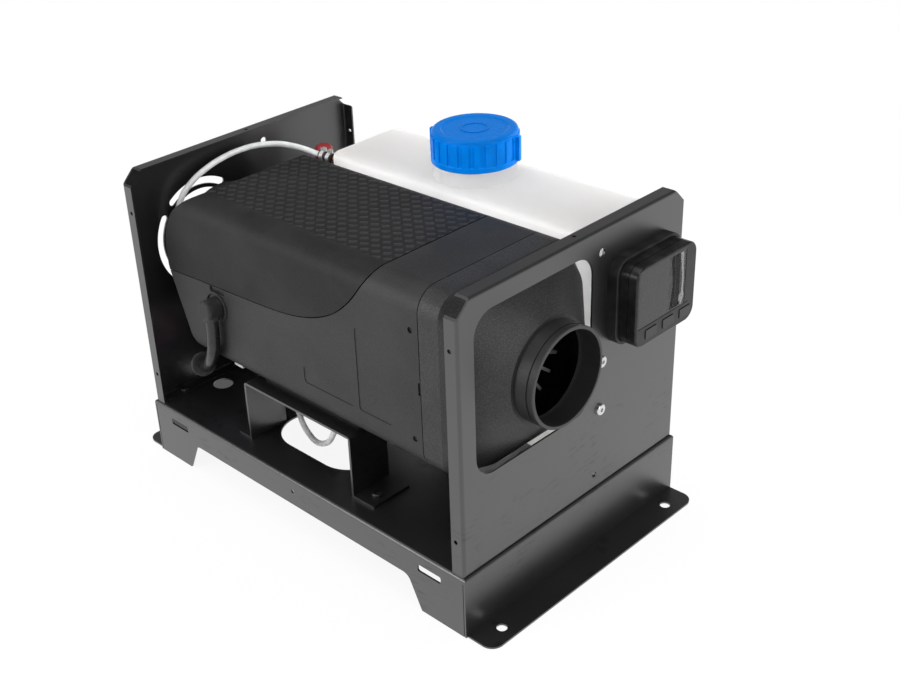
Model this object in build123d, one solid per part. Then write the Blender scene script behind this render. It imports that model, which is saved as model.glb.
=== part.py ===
from build123d import *
import math
import os

os.makedirs("parts", exist_ok=True)

# Open frame diesel air heater. Millimetres, +Z up.
# +X runs along the heater from its cold air inlet to its warm air outlet, +Y from the heater
# to the fuel tank. The origin is on the ground, under the middle of the base tray.

# ---------------------------------------------------------------- frame
SHEET = 1.5                  # folded sheet thickness
BEND = 2.5                   # outside radius of a fold
TRAY_LENGTH = 370.0
TRAY_DEPTH = 247.0
TRAY_HEIGHT = 51.5           # ground to top of deck
FOOT_WIDTH = 24.0            # foot flange that stands out past each end
FOOT_CORNER = 10.0
FOOT_SET_BACK = 1.5          # foot flange ends, in from the tray sides
FOOT_HOLE = 4.0              # radius
FOOT_HOLE_IN = 12.0          # hole centre, out from the end of the tray
FOOT_HOLE_SPAN = 198.0       # between the two holes of one foot flange
SEAM = 0.6                   # open seam between two folded skirts
ARCH_FOOT = 44.0             # length of each skirt foot on the ground
ARCH_SLOPE = 13.0            # how far the arch leans in over its height
ARCH_HEIGHT = 27.0
ARCH_ROUND = 8.0
SKIRT_SLOT = (23.0, 6.0)     # slots near the ends of the long skirts
SKIRT_SLOT_X = 150.0
SKIRT_SLOT_Z = 39.0
SKIRT_PINHOLE = 1.6
SKIRT_PINHOLE_UP = 1.0       # above the middle of the slots
DECK_HOLE_X = -17.0          # slot under the heater for its pipes
DECK_HOLE_Y = -62.5
DECK_HOLE = (102.0, 58.0)
DECK_PORT = 9.0              # round port beside the inlet plate
DECK_PORT_AT = (-160.0, -66.0)

PLATE_TOP = 266.5            # ground to top of the end plates
PLATE_IN = 1.5               # plates stand this far in from the tray edges
PLATE_FLANGE = 11.5
PLATE_CHAMFER = 12.5
PLATE_SCREW = 2.0            # radius of a screw shank
PLATE_SCREW_HOLE = 2.3
PLATE_SCREWS_Y = (-98.0, -38.0, 22.0)
FLANGE_HOLE = 1.7
FLANGE_HOLE_LOW = 28.5        # above the deck
FLANGE_HOLE_HIGH = 35.5       # below the top of the plates
TOP_HOLE_Y = 2.5
FACE_HOLE = 3.2              # open holes near the top of both plates
FACE_HOLE_Y = 24.5
FACE_HOLE_DOWN = 18.0        # below the top of the plates

WINDOW_Y = (-107.0, 15.0)    # opening of the outlet plate
WINDOW_BOTTOM = 126.0
WINDOW_DOWN = 14.5           # window's top, below the top of the plates
WINDOW_ROUND = 18.0

VENT_Y = -50.0               # arc slots of the inlet plate
VENT_Z = 189.0
VENT_RADII = (16.5, 26.0, 35.5, 45.0)
VENT_WIDTH = 6.2
VENT_BRIDGE = 12.0           # degrees of metal left between two arcs
VENT_TURN = 48.0

# ---------------------------------------------------------------- heater casing
HEATER_Y = -37.0
HEATER_Z = 184.0
CASE_SIZE = 136.0            # width of the casing
CASE_DEEPER = 7.0            # how much further it reaches down from its axis than up
CASE_ROUND = 18.0
WALL = 2.5
NOSE_X = -158.0              # ridge of the inlet end
NOSE_Z = 180.0
NOSE_FOOT_X = -133.0
NOSE_BROW_X = -120.0
NOSE_BULGE = (0.242, 0.68)   # shares of the way from ridge to brow, along and up
NOSE_BULGE_SHIFT = (0.87, 0.5)   # where the bulge goes when the wall is drawn in by 1
NOSE_FOOT_SHIFT = 1.1
NOSE_ROUND = 6.0
CASE_END = 131.0             # outlet end of the two casing shells
SEAM_GAP = 0.7
SEAM_OVER = 20.0             # how far the upper part's outline runs on above the casing
LIP = 1.2                    # thickness of the lips behind the seams
LIP_GAP = 0.2
LIP_REACH = 4.0
SEAM_CURVE = ((-170.0, 179.0), (-103.0, 183.6), (-45.0, 186.2), (9.0, 192.5), (47.0, 208.8),
              (71.0, 232.0), (88.0, 260.0))
SEAM_NOTCH = (-104.0, -86.0, 178.3, 182.5, 1.5)      # x, x, z, z, depth
EDGE_NOTCH = (129.2, 135.0, 172.0, 182.0, 1.2)       # the same, at the outlet end
PANEL = (67.0, 101.5, 135.0, 204.0)      # recessed fields on the sides: x, x, z, z
STRIP = (6.0, 61.5, 135.0, 149.5)
PANEL_DEEP = 0.5
PANEL_ROUND = 3.0
CLIP_HOLE = 2.3
CLIP_HOLE_X = 123.8
CLIP_HOLE_Z = (134.0, 221.0)
CLIP_DEEP = 1.5

RING_R = 48.0                # inlet ring
RING_WALL = 2.5
RING_X = (-168.0, -138.0)
GRILLE_BAR = 2.2
GRILLE_RADII = (12.0, 24.0, 36.0)

HOOD_SHOULDER_X = 150.0      # outlet hood
HOOD_FACE_X = 168.0
HOOD_FACE_IN = 7.0           # face, in from the casing's sides
HOOD_FACE_ROUND = 30.0
HOOD_NECK_X = 188.0
HOOD_NECK = 80.0
NECK_FLAT = 0.2              # flat left at the middle of each side of the neck
COLLAR_R = 37.5
COLLAR_END = 204.5
COLLAR_GROOVE = (3.0, 0.7)   # width and depth of the groove behind the rim
COLLAR_RIM = 3.0

# ---------------------------------------------------------------- inside the heater
SHAFT_R = 3.0
SHAFT_X = (-130.0, -33.0)
RUN_FIT = 0.05               # radial clearance of the running shaft
FAN_X = (-126.0, -109.0)
FAN_TO_WALL = 16.0           # tip of the fan to the outside of the casing
FAN_HUB_R = 15.0
FAN_BLADES = 7
FAN_BLADE = 1.8
FAN_PITCH_ANGLE = 38.0
FAN_BLADE_SHORT = 3.0        # blades, shorter than the hub
FAN_BLADE_ROOT = 2.0         # blades start inside the hub
MOTOR_X = (-105.0, -53.0)
MOTOR_R = 26.0
MOTOR_BOSS_R = 9.0
MOTOR_BOSS = 2.0
MOTOR_EDGE = 2.0
BLOWER_X = (-53.0, -27.0)
BLOWER_TO_WALL = 24.0
BLOWER_WALL = 4.0
BLOWER_FOOT = 50.0
WHEEL_X = (-47.5, -33.5)
WHEEL_R = 31.0
WHEEL_HUB_R = 7.0
WHEEL_BLADES = 14
WHEEL_DISC = 2.0
WHEEL_BLADE = 1.4
WHEEL_BLADE_OUT = 7.0        # blades start outside the hub
WHEEL_GAP = 3.0              # from the wheel to its chamber
SHAFT_GAP = 1.0              # from the shaft to the chamber's wall
HEAD_X = (-27.0, -5.0)       # burner head
HEAD_TO_WALL = 28.0
HEAD_FOOT = 6.0              # foot of the head, past the fuel inlet
BURNER_R = 25.0
BURNER_WALL = 1.5
BURNER_END = 66.0
BURNER_HOLE = 2.0            # radius of the air holes
BURNER_HOLE_IN = 14.0        # from the burner head
BURNER_HOLES = 8
PLUG_R = 4.5                 # glow plug
PLUG_HEX_R = 7.0
PLUG_TOP = 14.0
PLUG_HEX = 5.0
PLUG_TIP = 4.0               # reaches in past half the burner's radius
CORE_X = (-5.0, 152.0)       # heat exchanger
CORE_R = 36.0
CORE_WALL = 4.0
FIN_TO_WALL = 11.0
FIN_THICK = 2.4
FIN_COUNT = 24
CORE_DOME = 6.0
FOOT_BLOCK = (44.0, 50.0)    # exchanger foot along X and Y
FOOT_BLOCK_X = 26.0
PIPE_R = 12.0                # exhaust and combustion air stubs
PIPE_WALL = 1.5
PIPE_REACH = 25.0            # below the top of the bracket
PIPE_SHOULDER = 0.6          # thicker where it goes through bracket and casing
PIPE_SHOULDER_DOWN = 2.0     # below the bracket's sheet
PIPE_GROOVE = (2.5, 2.0)     # from the tip, and its width
EXHAUST_X = 20.0
INTAKE_X = -40.0
PIPE_HOLE_GAP = 1.0
NOZZLE_R = 2.5               # fuel nozzles take the same tube
NOZZLE_BORE = 1.0
FUEL_IN_X = -12.0
FUEL_IN_Y = -58.0
FUEL_IN_REACH = 11.0         # below the top of the bracket
BOARD_X = (-104.0, -44.0)
BOARD_Y = (-78.0, 4.0)
BOARD_DOWN = 20.0            # underside, below the top of the casing
BOARD_THICK = 1.6
BOARD_POST = (8.0, 6.0)      # the two posts under the board, along X and Y
BOARD_POST_IN = 8.0
RELAY_AT = (6.0, 6.0)        # relay, chip and capacitors on the board, from its corner
RELAY_SIZE = (20.0, 14.0, 9.0)
CHIP_AT = (34.0, 30.0)
CHIP_SIZE = (16.0, 16.0, 2.0)
CAPACITOR_AT = (14.0, 34.0)
CAPACITOR_STEP = 13.0
CAPACITOR_R = 5.0
CAPACITOR_HEIGHT = 10.0
CAPACITORS = 3
SENSOR_X = 70.0
SENSOR_R = 5.0
SENSOR_HEIGHT = 10.0
SENSOR_TAG = 3.0

# ---------------------------------------------------------------- heater bracket
GASKET = 3.0
GASKET_HALF = (58.0, 50.0)
GASKET_ROUND = 6.0
BRACKET = 2.0
BRACKET_X = (-71.0, 55.0)    # outsides of the two legs
BRACKET_Y = (-107.0, 25.0)
BRACKET_FOOT_IN = 14.0
BRACKET_FOOT_OUT = 22.0
BRACKET_LEG = 38.0           # width of each of the four legs
BRACKET_ARCH_DOWN = 14.0     # top of the arches, below the top of the bracket
BRACKET_ARCH_ROUND = 6.0
BRACKET_SCREW_ASIDE = 1.5    # screws of the outer feet, past the middle of the foot
STUD_R = 3.0
STUD_X = 48.0                # from the middle of the bracket
STUD_Y = 42.0
STUD_REACH = 11.0            # below the top of the bracket
NUT_R = 5.8
NUT_HEIGHT = 5.0
SCREW_HEAD_R = 4.2
SCREW_HEAD = 2.4
SCREW_BELOW = 4.0
SCREW_CROSS = (4.0, 1.0, 1.6)   # length and width of the cross, and twice its depth

# ---------------------------------------------------------------- fuel tank
TANK_X = (-108.0, 180.0)
TANK_GAP = 3.0               # between casing and tank
TANK_SIDE = 9.5              # between tank and the tray's edge
TANK_TOP = 252.0
TANK_WALL = 2.5
TANK_ROUND = 10.0
TANK_EDGE = 5.0
TANK_CLEAR = 2.0             # around the tank, at the folded plates
NECK_X = 21.0
NECK_ASIDE = 1.0             # from the middle of the tank's width
NECK_BASE_R = 34.0
NECK_BASE_RISE = 11.3        # above the tank's top
NECK_R = 30.0
NECK_BORE = 26.5
NECK_RISE = 32.0             # above the tank's top
THREAD_CREST = 1.5
THREAD_HEIGHT = 2.0
THREAD_PITCH = 6.0
THREAD_TURNS = 3
THREAD_START = 3.0           # above the foot of the neck
CAP_R = 35.0
CAP_GAP = 0.9                # between thread crests and cap
CAP_LIFT = 12.0              # cap's lower edge, above the tank's top
CAP_ROOF = 3.0
CAP_ROUND = 3.0
CAP_RIBS = 24
CAP_RIB = (5.4, 1.0)         # width and height of a grip rib
CAP_RIM = 5.0
CAP_RIM_ROUND = 1.0
CAP_RIB_DOWN = 1.0           # ribs end below the rounded edge
CAP_RIB_IN = 0.2             # ribs stand in from the rim
CAP_RIB_SINK = 0.6
CAP_LUG_ROOT = 2.0
CAP_LUG = (4.0, 2.6)
CAP_LUG_TURN = 20.0          # degrees from +X to the first of the two lugs
CAP_DISH = (27.0, 0.8)       # radius and depth of the shallow dish in the top
CAP_RING = (10.5, 1.6, 0.5)  # radius, width and height of the ring in the dish
LINER_R = 29.0
LINER_THICK = 3.0
OUTLET_IN = 12.5             # fuel outlet, in from the tank's side
OUTLET_DOWN = 12.0           # below the tank's top
OUTLET_REACH = 16.0
DIP_IN = 14.0
OUTLET_FLANGE_R = 5.0
OUTLET_FLANGE = 3.0
DIP_TIP = 60.0
CLAMP_LENGTH = 34.0          # angle that holds the tank to the outlet plate
CLAMP_WIDTH = 15.5
CLAMP_Z = (104.0, 178.0)
CLAMP_SCREW_IN = 7.5         # from the tank's side
CLAMP_SCREW_Z = (121.0, 161.5)
CLAMP_SCREW_R = 4.6
CLAMP_SOCKET_R = 1.7         # hexagon socket, across its corners
LOW_HOLE_AT = (22.5, 64.5)
STOP_IN = 16.0               # angle at the other end, in from the tank's sides
STOP_HEIGHT = 22.0
STOP_FOOT = 16.0

# ---------------------------------------------------------------- fuel pump and tubes
PUMP_X = -144.0
PUMP_ASIDE = 13.5            # from the tank's outlet
PUMP_R = 14.0
PUMP_EDGE = 2.0
PUMP_Z = (118.0, 226.0)
PUMP_BORE = 6.0
PLUNGER_GAP = 0.08
PLUNGER_Z = (150.0, 186.0)
PLUNGER_STROKE = 4.0
PLUNGER_SPARE = 0.5          # past both ends of the stroke
PUMP_CAP_R = 8.0
PUMP_CAP_RISE = 17.0         # above the pump
PUMP_CAP_DOME = 0.6          # rounding of its top, as a share of its radius
PUMP_INLET_TIP = 104.0
PUMP_OUT_Z = 206.0
PUMP_OUT_REACH = 24.0
PUMP_NUT = (8.0, 6.0)        # radius and height of the hexagon at the inlet
PUMP_BOSS = (5.5, 2.0)       # radius of the outlet boss and how far it stands out
HOLDER_WALL = 4.0
HOLDER_EDGE = 1.5
HOLDER_Z = (158.0, 184.0)
CRADLE_Z = (152.0, 190.0)
CRADLE_ARM = 12.0
CRADLE_SCREW_IN = 6.0        # from the top and the foot of its plate
CRADLE_ARM_IN = 4.0          # arm and band, in from the ends of the sleeve
TUBE_R = 2.5
JOINER_R = 4.4
JOINER_LENGTH = 16.0
CLIP_R = 5.2
CLIP_WIDTH = 4.0
CLIP_BAND = 1.2
CLIP_EAR = 3.5
CLIP_SHARE = 0.25            # where the clips sit along a joiner

# ---------------------------------------------------------------- wiring
GROMMET_X = -97.0
GROMMET_Z = 166.0
GROMMET_R = 8.5
GROMMET_HOLE = 6.0
GROMMET_SLEEVE = 6.9
GROMMET_GRIP = 3.0
RIB_R = 13.0
RIB_PROUD = 1.6
CONDUIT_R = 5.3
CONDUIT_OUT = 7.3            # from the side of the casing
CONDUIT_TOP = 160.0
FERRULE_R = 10.5
FERRULE_LENGTH = 5.0
FERRULE_ROUND = 1.0
WIRE_R = 1.3
WIRE_SPREAD = 1.9
WIRE_LEAD = 12.0
CONNECTOR_X = (-104.0, -94.0)
CONNECTOR_IN = 19.0          # from the side of the casing
CONNECTOR_WIDTH = 8.0
CONNECTOR_HEIGHT = 7.0
CONNECTOR_ROUND = 1.0

# ---------------------------------------------------------------- controller
HOLDER_SIDE = 14.5           # holder, in from the end of the outlet plate
HOLDER_WIDTH = 76.0
HOLDER_DOWN = 26.3           # holder, down from the top of the outlet plate
HOLDER_TALL = 68.2
HOLDER_DEPTH = 8.5
HOLDER_ROUND = 12.5
HOLDER_BACK = 2.0
HOLDER_RIM = 2.2
HOLDER_SCREW_OUT = 26.0
CASE_SET = (2.5, 2.5)        # controller, from the holder's corner
KEYPAD = (71.0, 63.2)        # width and height of the controller
CASE_FACE_X = 207.0
CASE_WALL = 2.0
CASE_CORNER = 10.0
CASE_EDGE = 1.5
CASE_GROOVE_X = 199.0
CASE_GROOVE = 0.5
SCREEN_ROUND = 1.5
POST_IN = 8.0
POST_R = 2.0
PCB_X = 195.0
PCB_CLEAR = 0.5
SWITCH_SIZE = 5.0
SWITCH_TOP = 202.2
SCREEN_SET = (2.6, 15.8)     # screen, from the controller's corner
SCREEN_SIZE = (55.3, 45.0)
SCREEN_DEEP = 1.2
BUTTON_SET = (11.6, 5.1)     # first key, from the controller's corner
BUTTON_WIDTH = 13.5
BUTTON_STEP = 20.5
BUTTON_HEIGHT = 7.4
BUTTON_ROUND = 1.2
BUTTON_LIP = 1.2
BUTTON_PROUD = 0.6
BUTTON_GAP = 0.3
BUTTON_COUNT = 3

# ---------------------------------------------------------------- worked out from the above
HALF_L = TRAY_LENGTH / 2
HALF_D = TRAY_DEPTH / 2
DECK = TRAY_HEIGHT
PLATE_X = HALF_L - PLATE_IN                     # outer face of the outlet plate
PLATE_INNER = PLATE_X - SHEET
PLATE_HALF = HALF_D - PLATE_IN
CASE_HALF = CASE_SIZE / 2
CASE_Y0 = HEATER_Y - CASE_HALF
CASE_Y1 = HEATER_Y + CASE_HALF
CASE_BELOW = CASE_HALF + CASE_DEEPER
CASE_Z0 = HEATER_Z - CASE_BELOW
CASE_Z1 = HEATER_Z + CASE_HALF
CASE_FLOOR = CASE_Z0 + WALL
BRACKET_TOP = CASE_Z0 - GASKET
FAN_R = CASE_HALF - FAN_TO_WALL
BLOWER_R = CASE_HALF - BLOWER_TO_WALL
HEAD_R = CASE_HALF - HEAD_TO_WALL
FIN_R = CASE_HALF - FIN_TO_WALL
BOARD_Z = CASE_Z1 - BOARD_DOWN
PIPE_TIP = BRACKET_TOP - PIPE_REACH
FUEL_IN_TIP = BRACKET_TOP - FUEL_IN_REACH
STUD_TIP = BRACKET_TOP - STUD_REACH
TANK_Y = (CASE_Y1 + TANK_GAP, HALF_D - TANK_SIDE)
NECK_Y = (TANK_Y[0] + TANK_Y[1]) / 2 + NECK_ASIDE
NECK_BASE_TOP = TANK_TOP + NECK_BASE_RISE
NECK_TOP = TANK_TOP + NECK_RISE
CAP_BOTTOM = TANK_TOP + CAP_LIFT
CAP_TOP = NECK_TOP + LINER_THICK + CAP_ROOF
OUTLET_Y = TANK_Y[0] + OUTLET_IN
OUTLET_Z = TANK_TOP - OUTLET_DOWN
CLAMP_SCREW_Y = TANK_Y[0] - CLAMP_SCREW_IN
STOP_Y = (TANK_Y[0] + STOP_IN, TANK_Y[1] - STOP_IN)
PUMP_Y = OUTLET_Y + PUMP_ASIDE
PUMP_OUT_TIP = PUMP_Y + PUMP_OUT_REACH
CONDUIT_Y = CASE_Y0 - CONDUIT_OUT
CONNECTOR_Y = CASE_Y0 + CONNECTOR_IN
HOLDER_Y = (PLATE_HALF - HOLDER_SIDE - HOLDER_WIDTH, PLATE_HALF - HOLDER_SIDE)
HOLDER_ZZ = (PLATE_TOP - HOLDER_DOWN - HOLDER_TALL, PLATE_TOP - HOLDER_DOWN)
CASE_Y = (HOLDER_Y[0] + CASE_SET[0], HOLDER_Y[0] + CASE_SET[0] + KEYPAD[0])
CASE_Z = (HOLDER_ZZ[0] + CASE_SET[1], HOLDER_ZZ[0] + CASE_SET[1] + KEYPAD[1])
SCREEN_Y = (CASE_Y[0] + SCREEN_SET[0], CASE_Y[0] + SCREEN_SET[0] + SCREEN_SIZE[0])
SCREEN_Z = (CASE_Z[0] + SCREEN_SET[1], CASE_Z[0] + SCREEN_SET[1] + SCREEN_SIZE[1])
BUTTON_Y0 = CASE_Y[0] + BUTTON_SET[0]
BUTTON_Z = (CASE_Z[0] + BUTTON_SET[1], CASE_Z[0] + BUTTON_SET[1] + BUTTON_HEIGHT)
BRACKET_MID_X = (BRACKET_X[0] + BRACKET_X[1]) / 2
BRACKET_MID_Y = (BRACKET_Y[0] + BRACKET_Y[1]) / 2
CASE_BACK_X = PLATE_X + HOLDER_BACK
PAST = 1.0                                      # how far a cutter reaches past its face
ARC_SHARE = 0.45                                # of the shorter run, taken by a bend


def block(x0, x1, y0, y1, z0, z1):
    middle = Pos((x0 + x1) / 2, (y0 + y1) / 2, (z0 + z1) / 2)
    return middle * Box(x1 - x0, y1 - y0, z1 - z0)


def rod_x(x0, x1, y, z, radius):
    return Pos((x0 + x1) / 2, y, z) * Rot(0, 90, 0) * Cylinder(radius, x1 - x0)


def rod_y(y0, y1, x, z, radius):
    return Pos(x, (y0 + y1) / 2, z) * Rot(90, 0, 0) * Cylinder(radius, y1 - y0)


def rod_z(z0, z1, x, y, radius):
    return Pos(x, y, (z0 + z1) / 2) * Cylinder(radius, z1 - z0)


def rounded_x(x0, x1, y0, y1, z0, z1, radius):
    """A bar along X whose section is a rounded rectangle."""
    face = Plane.YZ.offset(x0) * Pos((y0 + y1) / 2, (z0 + z1) / 2) \
        * RectangleRounded(y1 - y0, z1 - z0, radius)
    return extrude(face, x1 - x0)


def side_slab(outline, y0, y1):
    """A slab between two Y planes whose outline is drawn in X and Z."""
    return extrude(Plane.XZ.offset(-y1) * make_face(outline), y1 - y0)


def save(name, *pieces):
    shape = pieces[0] if len(pieces) == 1 else Compound(list(pieces))
    export_step(shape, f"parts/{name}.step")


def mirror_x(shape):
    return mirror(shape, about=Plane.YZ)


# ---------------------------------------------------------------- frame

def arch_cutter():
    """The cut that leaves a foot at each end of the long skirts."""
    low = HALF_L - ARCH_FOOT
    high = low - ARCH_SLOPE
    outline = Polyline((-low, -PAST), (-low, 0), (-high, ARCH_HEIGHT), (high, ARCH_HEIGHT),
                       (low, 0), (low, -PAST), close=True)
    slab = side_slab(outline, -HALF_D - PAST, HALF_D + PAST)
    corners = slab.edges().filter_by(Axis.Y).group_by(Axis.Z)[-1]
    return fillet(corners, ARCH_ROUND)


def deck_slot():
    length, width = DECK_HOLE
    face = Plane.XY.offset(DECK - SHEET - PAST) * Pos(DECK_HOLE_X, DECK_HOLE_Y) \
        * SlotOverall(length, width)
    return extrude(face, SHEET + 2 * PAST)


def deck_screw_places():
    """Where screws go down through the deck."""
    places = [(side * (PLATE_INNER - PLATE_FLANGE / 2), y)
              for side in (-1, 1) for y in PLATE_SCREWS_Y]
    return places + bracket_screw_places() + stop_screw_places()


def bracket_screw_places():
    near = BRACKET_X[0] - BRACKET_FOOT_IN / 2
    far = BRACKET_X[1] + BRACKET_FOOT_OUT / 2 + BRACKET_SCREW_ASIDE
    in_leg = BRACKET_LEG / 3
    return [(x, y) for x in (near, far) for y in (BRACKET_Y[0] + in_leg, BRACKET_Y[1] - in_leg)]


def stop_screw_places():
    x = TANK_X[0] - SHEET - STOP_FOOT / 2
    return [(x, STOP_Y[0] + STOP_FOOT / 2), (x, STOP_Y[1] - STOP_FOOT / 2)]


def base_tray():
    outer = block(-HALF_L, HALF_L, -HALF_D, HALF_D, 0, DECK)
    outer = fillet(outer.edges().group_by(Axis.Z)[-1], BEND)
    inner = block(-HALF_L + SHEET, HALF_L - SHEET, -HALF_D + SHEET, HALF_D - SHEET,
                  -PAST, DECK - SHEET)
    inner = fillet(inner.edges().group_by(Axis.Z)[-1], BEND - SHEET)
    tray = outer - inner - arch_cutter() - deck_slot()
    for end in (-1, 1):
        seam_out = end * (HALF_L - SHEET)
        seam_in = end * (HALF_L - SHEET - SEAM)
        for side in (-1, 1):
            skirt_in = side * (HALF_D - SHEET)
            skirt_out = side * (HALF_D + PAST)
            tray -= block(min(seam_in, seam_out), max(seam_in, seam_out),
                          min(skirt_in, skirt_out), max(skirt_in, skirt_out),
                          -PAST, DECK - BEND - SHEET)
    tray += foot_flange() + mirror_x(foot_flange())
    for x in (-SKIRT_SLOT_X, SKIRT_SLOT_X):
        slot = Plane.XZ.offset(-HALF_D - PAST) * Pos(x, SKIRT_SLOT_Z) \
            * RectangleRounded(*SKIRT_SLOT, SKIRT_SLOT[1] / 4)
        tray -= extrude(slot, TRAY_DEPTH + 2 * PAST)
    tray -= rod_y(-HALF_D - PAST, HALF_D + PAST, 0, SKIRT_SLOT_Z + SKIRT_PINHOLE_UP,
                  SKIRT_PINHOLE)
    tray -= rod_z(DECK - SHEET - PAST, DECK + PAST, *DECK_PORT_AT, DECK_PORT)
    for x, y in deck_screw_places():
        tray -= rod_z(DECK - SHEET - PAST, DECK + PAST, x, y, PLATE_SCREW)
    return tray


def foot_flange():
    """The flange of the outlet end; the inlet end has its mirror image."""
    y = HALF_D - FOOT_SET_BACK
    flange = block(HALF_L - SHEET, HALF_L + FOOT_WIDTH, -y, y, 0, SHEET)
    outer = flange.edges().filter_by(Axis.Z).group_by(Axis.X)[-1]
    flange = fillet(outer, FOOT_CORNER)
    for hole_y in (-FOOT_HOLE_SPAN / 2, FOOT_HOLE_SPAN / 2):
        flange -= rod_z(-PAST, SHEET + PAST, HALF_L + FOOT_HOLE_IN, hole_y, FOOT_HOLE)
    return flange


def folded_plate():
    """A plate at the outlet end, folded inwards on all four sides."""
    inward = PLATE_X - PLATE_FLANGE
    outer = block(inward, PLATE_X, -PLATE_HALF, PLATE_HALF, DECK, PLATE_TOP)
    outer = fillet(outer.edges().group_by(Axis.X)[-1], BEND)
    inner = block(inward - PAST, PLATE_INNER, -PLATE_HALF + SHEET, PLATE_HALF - SHEET,
                  DECK + SHEET, PLATE_TOP - SHEET)
    inner = fillet(inner.edges().group_by(Axis.X)[-1], BEND - SHEET)
    plate = outer - inner
    for side in (-1, 1):
        y = side * PLATE_HALF
        corner = Polyline((y, PLATE_TOP + PAST), (y + side * PAST, PLATE_TOP + PAST),
                          (y + side * PAST, PLATE_TOP - PLATE_CHAMFER - PAST),
                          (y - side * PLATE_CHAMFER - side * PAST, PLATE_TOP + PAST),
                          close=True)
        plate -= extrude(Plane.YZ.offset(inward - PAST) * make_face(corner),
                         PLATE_FLANGE + 2 * PAST)
    for z in (DECK + FLANGE_HOLE_LOW, PLATE_TOP - FLANGE_HOLE_HIGH):
        plate -= rod_y(-PLATE_HALF - PAST, PLATE_HALF + PAST,
                       PLATE_INNER - PLATE_FLANGE / 2, z, FLANGE_HOLE)
    for y in PLATE_SCREWS_Y:
        plate -= rod_z(DECK - PAST, DECK + SHEET + PAST, PLATE_INNER - PLATE_FLANGE / 2, y,
                       PLATE_SCREW_HOLE)
    plate -= rod_z(PLATE_TOP - SHEET - PAST, PLATE_TOP + PAST,
                   PLATE_INNER - PLATE_FLANGE / 2, TOP_HOLE_Y, FLANGE_HOLE)
    plate -= rod_x(PLATE_INNER - PAST, PLATE_X + PAST, FACE_HOLE_Y, PLATE_TOP - FACE_HOLE_DOWN,
                   FACE_HOLE)
    return plate


def outlet_plate():
    plate = folded_plate()
    plate -= rounded_x(PLATE_INNER - PAST, PLATE_X + PAST, *WINDOW_Y, WINDOW_BOTTOM,
                       PLATE_TOP - WINDOW_DOWN, WINDOW_ROUND)
    for z in CLAMP_SCREW_Z:
        plate -= rod_x(PLATE_INNER - PAST, PLATE_X + PAST, CLAMP_SCREW_Y, z, PLATE_SCREW_HOLE)
    plate -= rod_x(PLATE_INNER - PAST, PLATE_X + PAST, *LOW_HOLE_AT, PLATE_SCREW_HOLE)
    plate -= block(PLATE_X - PLATE_FLANGE - PAST, PLATE_X - BEND, TANK_Y[0] - TANK_CLEAR,
                   TANK_Y[1] + TANK_CLEAR, DECK - PAST, DECK + BEND)
    for y, z in holder_screw_places():
        plate -= rod_x(PLATE_INNER - PAST, PLATE_X + PAST, y, z, PLATE_SCREW)
    return plate


def vent_slots():
    """Rings of arc slots, four arcs to a ring, cut through the inlet plate."""
    slots = []
    for radius in VENT_RADII:
        gap = VENT_BRIDGE + math.degrees(VENT_WIDTH / radius)
        for quarter in range(4):
            start = VENT_TURN + 90 * quarter + gap / 2
            arc = CenterArc((0, 0), radius, start, 90 - gap)
            face = Plane.YZ.offset(-PLATE_X - PAST) * Pos(VENT_Y, VENT_Z) \
                * SlotArc(arc, VENT_WIDTH)
            slots.append(extrude(face, SHEET + 2 * PAST))
    return slots


def inlet_plate():
    plate = mirror_x(folded_plate())
    for slot in vent_slots():
        plate -= slot
    for z in cradle_screw_places():
        plate -= rod_x(-PLATE_X - PAST, -PLATE_INNER + PAST, PUMP_Y, z, PLATE_SCREW)
    return plate


def screw_down(x, y, top):
    """A pan head screw seen from above, its shank in the sheets under it."""
    head = rod_z(top, top + SCREW_HEAD, x, y, SCREW_HEAD_R)
    head = fillet(head.edges().group_by(Axis.Z)[-1], SCREW_HEAD / 2)
    long, wide, deep = SCREW_CROSS
    recess = Pos(x, y, top + SCREW_HEAD) * (Box(long, wide, deep) + Box(wide, long, deep))
    return head - recess + rod_z(top - SCREW_BELOW, top, x, y, PLATE_SCREW)


def plate_screws():
    x = PLATE_INNER - PLATE_FLANGE / 2
    return [screw_down(side * x, y, DECK + SHEET)
            for side in (-1, 1) for y in PLATE_SCREWS_Y]


# ---------------------------------------------------------------- heater casing

def casing_solid(inset, x_end):
    """The filled casing, drawn in by inset on every side but the outlet end."""
    y0, y1 = CASE_Y0 + inset, CASE_Y1 - inset
    z0, z1 = CASE_Z0 + inset, CASE_Z1 - inset
    bar = rounded_x(NOSE_X - PAST, x_end, y0, y1, z0, z1, CASE_ROUND - inset)
    # the side outline of the nose, moved inwards by inset
    ridge = (NOSE_X + inset, NOSE_Z)
    brow = (NOSE_BROW_X + inset / 2, z1)
    along, rise = NOSE_BULGE
    shift_x, shift_z = NOSE_BULGE_SHIFT
    bulge = (NOSE_X + along * (NOSE_BROW_X - NOSE_X) + inset * shift_x,
             NOSE_Z + rise * (CASE_Z1 - NOSE_Z) - inset * shift_z)
    foot = (NOSE_FOOT_X + inset * NOSE_FOOT_SHIFT, z0)
    far = x_end + PAST
    over = z1 + PAST
    outline = [ThreePointArc(ridge, bulge, brow), Line(brow, (brow[0], over)),
               Line((brow[0], over), (far, over)), Line((far, over), (far, z0 - PAST)),
               Line((far, z0 - PAST), (foot[0], z0 - PAST)), Line((foot[0], z0 - PAST), foot),
               Line(foot, ridge)]
    nose = side_slab(outline, y0 - PAST, y1 + PAST)
    tip = nose.edges().filter_by(Axis.Y).group_by(Axis.X)[0]
    return bar & fillet(tip, NOSE_ROUND - inset)


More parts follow.
